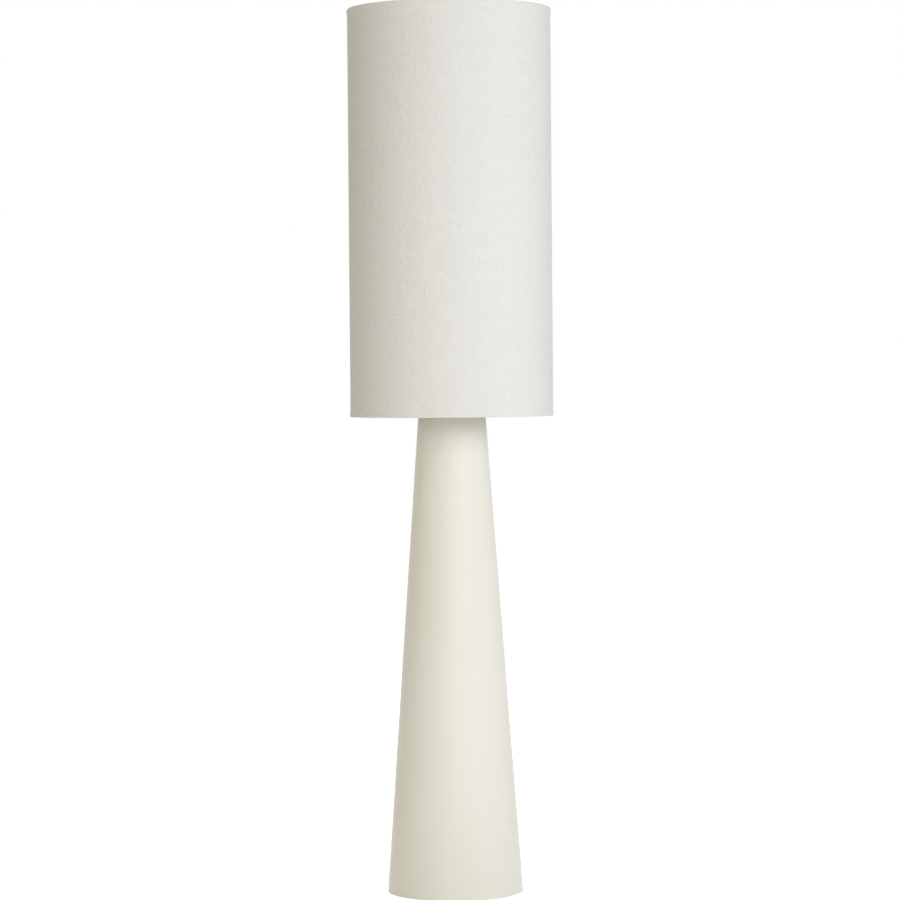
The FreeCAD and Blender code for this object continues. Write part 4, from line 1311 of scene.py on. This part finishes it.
@dataclass
class ScrewForm:
    """Rolled screw form that the bulb's cap and the socket's sleeve share."""

    pitch: float = 0.0254 / 7
    depth: float = 0.00075
    rows_a_turn: int = 10

    def rows(self, height: float) -> int:
        """Rows of points along a threaded wall of this height."""
        return round(height / self.pitch * self.rows_a_turn)

    def roll(self, spot: Vector, crest_r: float, foot: float, tip: float) -> Vector:
        """Where a point of a plain wall lies once the screw form is rolled in.

        Args:
            spot: the point.
            crest_r: radius of the plain wall, which the crests keep.
            foot: height where the form starts.
            tip: height where it ends.

        Returns:
            The rolled point.
        """
        radius = radius_of(spot)
        if not foot <= spot.z <= tip or radius < crest_r - self.depth:
            return spot
        fade = min(1.0, (spot.z - foot) / self.pitch, (tip - spot.z) / self.pitch)
        phase = FULL_TURN * spot.z / self.pitch - round_the_axis(spot)
        share = 1 - self.depth * max(0.0, fade) * (0.5 - 0.5 * math.cos(phase)) / radius
        return Vector((spot.x * share, spot.y * share, spot.z))

    def cup(self, name: str, middle: Sequence[Point], radius: float, foot: float, top: float,
            thickness: float) -> Piece:
        """Turns a thin cup with the screw form rolled into its wall.

        Args:
            name: of the new piece.
            middle: outline of its closed end near the axis, walked outwards.
            radius: outside of its wall, which the crests keep.
            foot: height of its closed end.
            top: height of its open end.
            thickness: of the metal.

        Returns:
            The cup.
        """
        bend = 2 * thickness
        start, end = (radius, foot + bend), (radius, top)
        outline = [*middle, *arc((radius - bend, foot + bend), bend, -90, 0, 5)]
        outline += [*run(start, end, self.rows(end[1] - start[1])), end]
        cup = turned(name, outline, closed=False)
        shift_points(cup, lambda spot: self.roll(spot, radius, start[1], end[1]))
        with editing(cup):
            bpy.ops.mesh.normals_make_consistent(inside=False)
        fit_modifier(cup, "SOLIDIFY", thickness=thickness, offset=-1.0)
        smooth(cup, degrees=50)
        return cup


@dataclass
class LampSocket:
    """The lamp socket with its turn switch."""

    finishes: Finishes
    form: ScrewForm = field(default_factory=ScrewForm)
    sleeve_t: float = 0.0005
    hole_r: float = 0.006

    def build(self) -> None:
        """Builds and dresses the socket."""
        self.thread_sleeve()
        dress(self.finishes.stamped_brass, "socket_cap", "socket_shell")
        dress(self.finishes.plated_steel, "socket_set_screw")
        dress(self.finishes.turned_steel, "switch_stem")
        dress(self.finishes.fibre, "socket_liner")
        dress(self.finishes.phenolic, "socket_core", "switch_cam", "switch_knob")
        dress(self.finishes.contact_brass, "terminal_screws", "centre_contact")

    def thread_sleeve(self) -> None:
        """The screwed cup that takes the bulb."""
        low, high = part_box("thread_sleeve")
        cup = self.form.cup("thread_cup", [(self.hole_r, low.z)], high.x, low.z, high.z,
                            self.sleeve_t)
        mount(cup, "base", "contact_brass", self.finishes.contact_brass, "thread_sleeve")


@dataclass
class Bulb:
    """The bulb: contact, insulator, screw cap and opal globe."""

    finishes: Finishes
    form: ScrewForm = field(default_factory=ScrewForm)
    wall: float = 0.00035

    def build(self) -> None:
        """Builds and dresses the bulb."""
        self.screw_cap()
        dress(self.finishes.solder, "bulb_contact")
        dress(self.finishes.black_glass, "bulb_insulator")
        dress(self.finishes.opal, "bulb_globe")

    def screw_cap(self) -> None:
        """The thin cap with its rolled screw form, closed over the insulator by a shoulder."""
        low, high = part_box("bulb_cap")
        shoulder_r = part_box("bulb_insulator")[1].x
        middle = [(shoulder_r - self.wall, low.z), (shoulder_r, low.z)]
        cap = self.form.cup("screw_cap", middle, high.x, low.z, high.z, self.wall)
        mount(cap, "bulb", "bulb_metal", self.finishes.cap_metal, "bulb_cap")


# ---- Studio ----------------------------------------------------------------------------------


@dataclass(frozen=True)
class SoftBox:
    """A square soft lamp that looks at the object's middle.

    Args:
        name: of the lamp.
        azimuth: degrees round the object, 0 in front and 90 to the right.
        elevation: degrees above the object's middle.
        distance: from the object's middle.
        width: of its face.
        level: share of full white that it gives a surface facing it.
        colour: of its light.
    """

    name: str
    azimuth: float
    elevation: float
    distance: float
    width: float
    level: float
    colour: Rgb

    def hang(self, middle: Vector) -> None:
        """Hangs the lamp and aims it at the object's middle.

        Args:
            middle: the object's middle.
        """
        turn, lift = math.radians(self.azimuth), math.radians(self.elevation)
        away = Vector((math.sin(turn) * math.cos(lift), -math.cos(turn) * math.cos(lift),
                       math.sin(lift)))
        lamp = bpy.data.lights.new(self.name, "AREA")
        lamp.shape = "SQUARE"
        lamp.size = self.width
        lamp.energy = self.level * math.pi ** 2 * self.distance ** 2
        lamp.color = self.colour
        holder = bpy.data.objects.new(self.name, lamp)
        holder.location = middle + away * self.distance
        holder.rotation_euler = (-away).to_track_quat("-Z", "Y").to_euler()
        bpy.context.scene.collection.objects.link(holder)


@dataclass
class Studio:
    """White floor and surroundings, plain soft light, and the photograph's camera."""

    middle: Vector = field(default_factory=lambda: Vector((0.0, 0.0, 0.77)))
    ambient: float = 0.36
    ambient_colour: Rgb = (1.04, 1.0, 0.905)
    floor_size: float = 40.0
    floor_grey: float = 0.8
    floor_glow: float = 0.93
    floor_share: float = 0.4
    floor_drop: float = 0.0003
    camera_away: float = 5.674
    camera_height: float = 0.931
    camera_side: float = -0.0038
    pitch_down: float = 1.570
    roll: float = -0.464
    lens: float = 129.52
    sensor: float = 36.0
    sight: float = 100.0
    lamps: tuple[SoftBox, ...] = (
        SoftBox("front", 0.0, 0.0, 3.4, 2.0, 0.222, (1.0, 1.0, 0.93)),
        SoftBox("key", 25.0, 18.0, 3.4, 1.3, 0.215, (0.935, 1.0, 1.145)),
        SoftBox("side_key", 45.0, 10.0, 3.4, 1.6, 0.193, (0.935, 1.0, 1.145)),
        SoftBox("left_fill", -75.0, 5.0, 3.4, 2.0, 0.08, (1.06, 0.99, 0.75)),
        SoftBox("right_fill", 95.0, 10.0, 3.4, 1.8, 0.097, (0.94, 1.0, 1.145)),
        SoftBox("back", 180.0, 20.0, 3.8, 2.2, 0.6, (1.0, 1.0, 0.97)),
    )

    def build(self) -> None:
        """Sets up the surroundings, the lamps and the camera."""
        self.surroundings()
        self.floor()
        for lamp in self.lamps:
            lamp.hang(self.middle)
        self.camera()
        bpy.context.scene.view_settings.view_transform = "Standard"

    def surroundings(self) -> None:
        """A world that shows white and lights softly."""
        mix = Recipe("surroundings", world=True)
        bpy.context.scene.world = mix.owner
        soft = mix.node("ShaderNodeBackground", {"Color": self.ambient_colour,
                                                 "Strength": self.ambient})
        white = mix.node("ShaderNodeBackground", {"Color": WHITE})
        choose = mix.node("ShaderNodeMixShader", {0: mix.seen(), 1: soft.outputs[0],
                                                  2: white.outputs[0]})
        mix.node("ShaderNodeOutputWorld", {"Surface": choose.outputs[0]})

    def floor(self) -> None:
        """A pale floor that shows white, with the object's faint shadow on it."""
        floor = added(bpy.ops.mesh.primitive_plane_add, size=self.floor_size,
                      location=(0, 0, -self.floor_drop))
        floor.name = "studio_floor"
        mix = Recipe("studio_floor")
        grey = (self.floor_grey,) * 3
        thin_grey = (self.floor_grey * self.floor_share,) * 3
        plain = mix.node("ShaderNodeBsdfDiffuse", {"Color": grey})
        thin = mix.node("ShaderNodeBsdfDiffuse", {"Color": thin_grey})
        glow = mix.node("ShaderNodeEmission", {"Color": WHITE, "Strength": self.floor_glow})
        both = mix.node("ShaderNodeAddShader", {0: thin.outputs[0], 1: glow.outputs[0]})
        choose = mix.node("ShaderNodeMixShader", {0: mix.seen(), 1: plain.outputs[0],
                                                  2: both.outputs[0]})
        mix.node("ShaderNodeOutputMaterial", {"Surface": choose.outputs[0]})
        floor.data.materials.append(mix.owner)

    def camera(self) -> None:
        """The photograph's camera, a little above the object's middle and a hair off level."""
        data = bpy.data.cameras.new("camera")
        data.lens = self.lens
        data.sensor_width = self.sensor
        data.clip_end = self.sight
        camera = bpy.data.objects.new("camera", data)
        camera.location = (self.camera_side, -self.camera_away, self.camera_height)
        pitch = math.radians(self.pitch_down)
        aim = Vector((0.0, math.cos(pitch), -math.sin(pitch))).to_track_quat("-Z", "Y")
        aim = aim.to_matrix().to_4x4() @ Matrix.Rotation(math.radians(self.roll), 4, "Z")
        camera.rotation_euler = aim.to_euler()
        bpy.context.scene.collection.objects.link(camera)
        bpy.context.scene.camera = camera


def main() -> None:
    """Builds the lamp from the floor up and the studio round it."""
    logging.basicConfig(level=logging.INFO, format="%(name)s: %(message)s")
    finishes = Finishes()
    for part in (Foot, Column, Riser, HarpRig, DrumShade, LampSocket, Bulb):
        part(finishes).build()
    Studio().build()


if __name__ == "__main__":
    main()
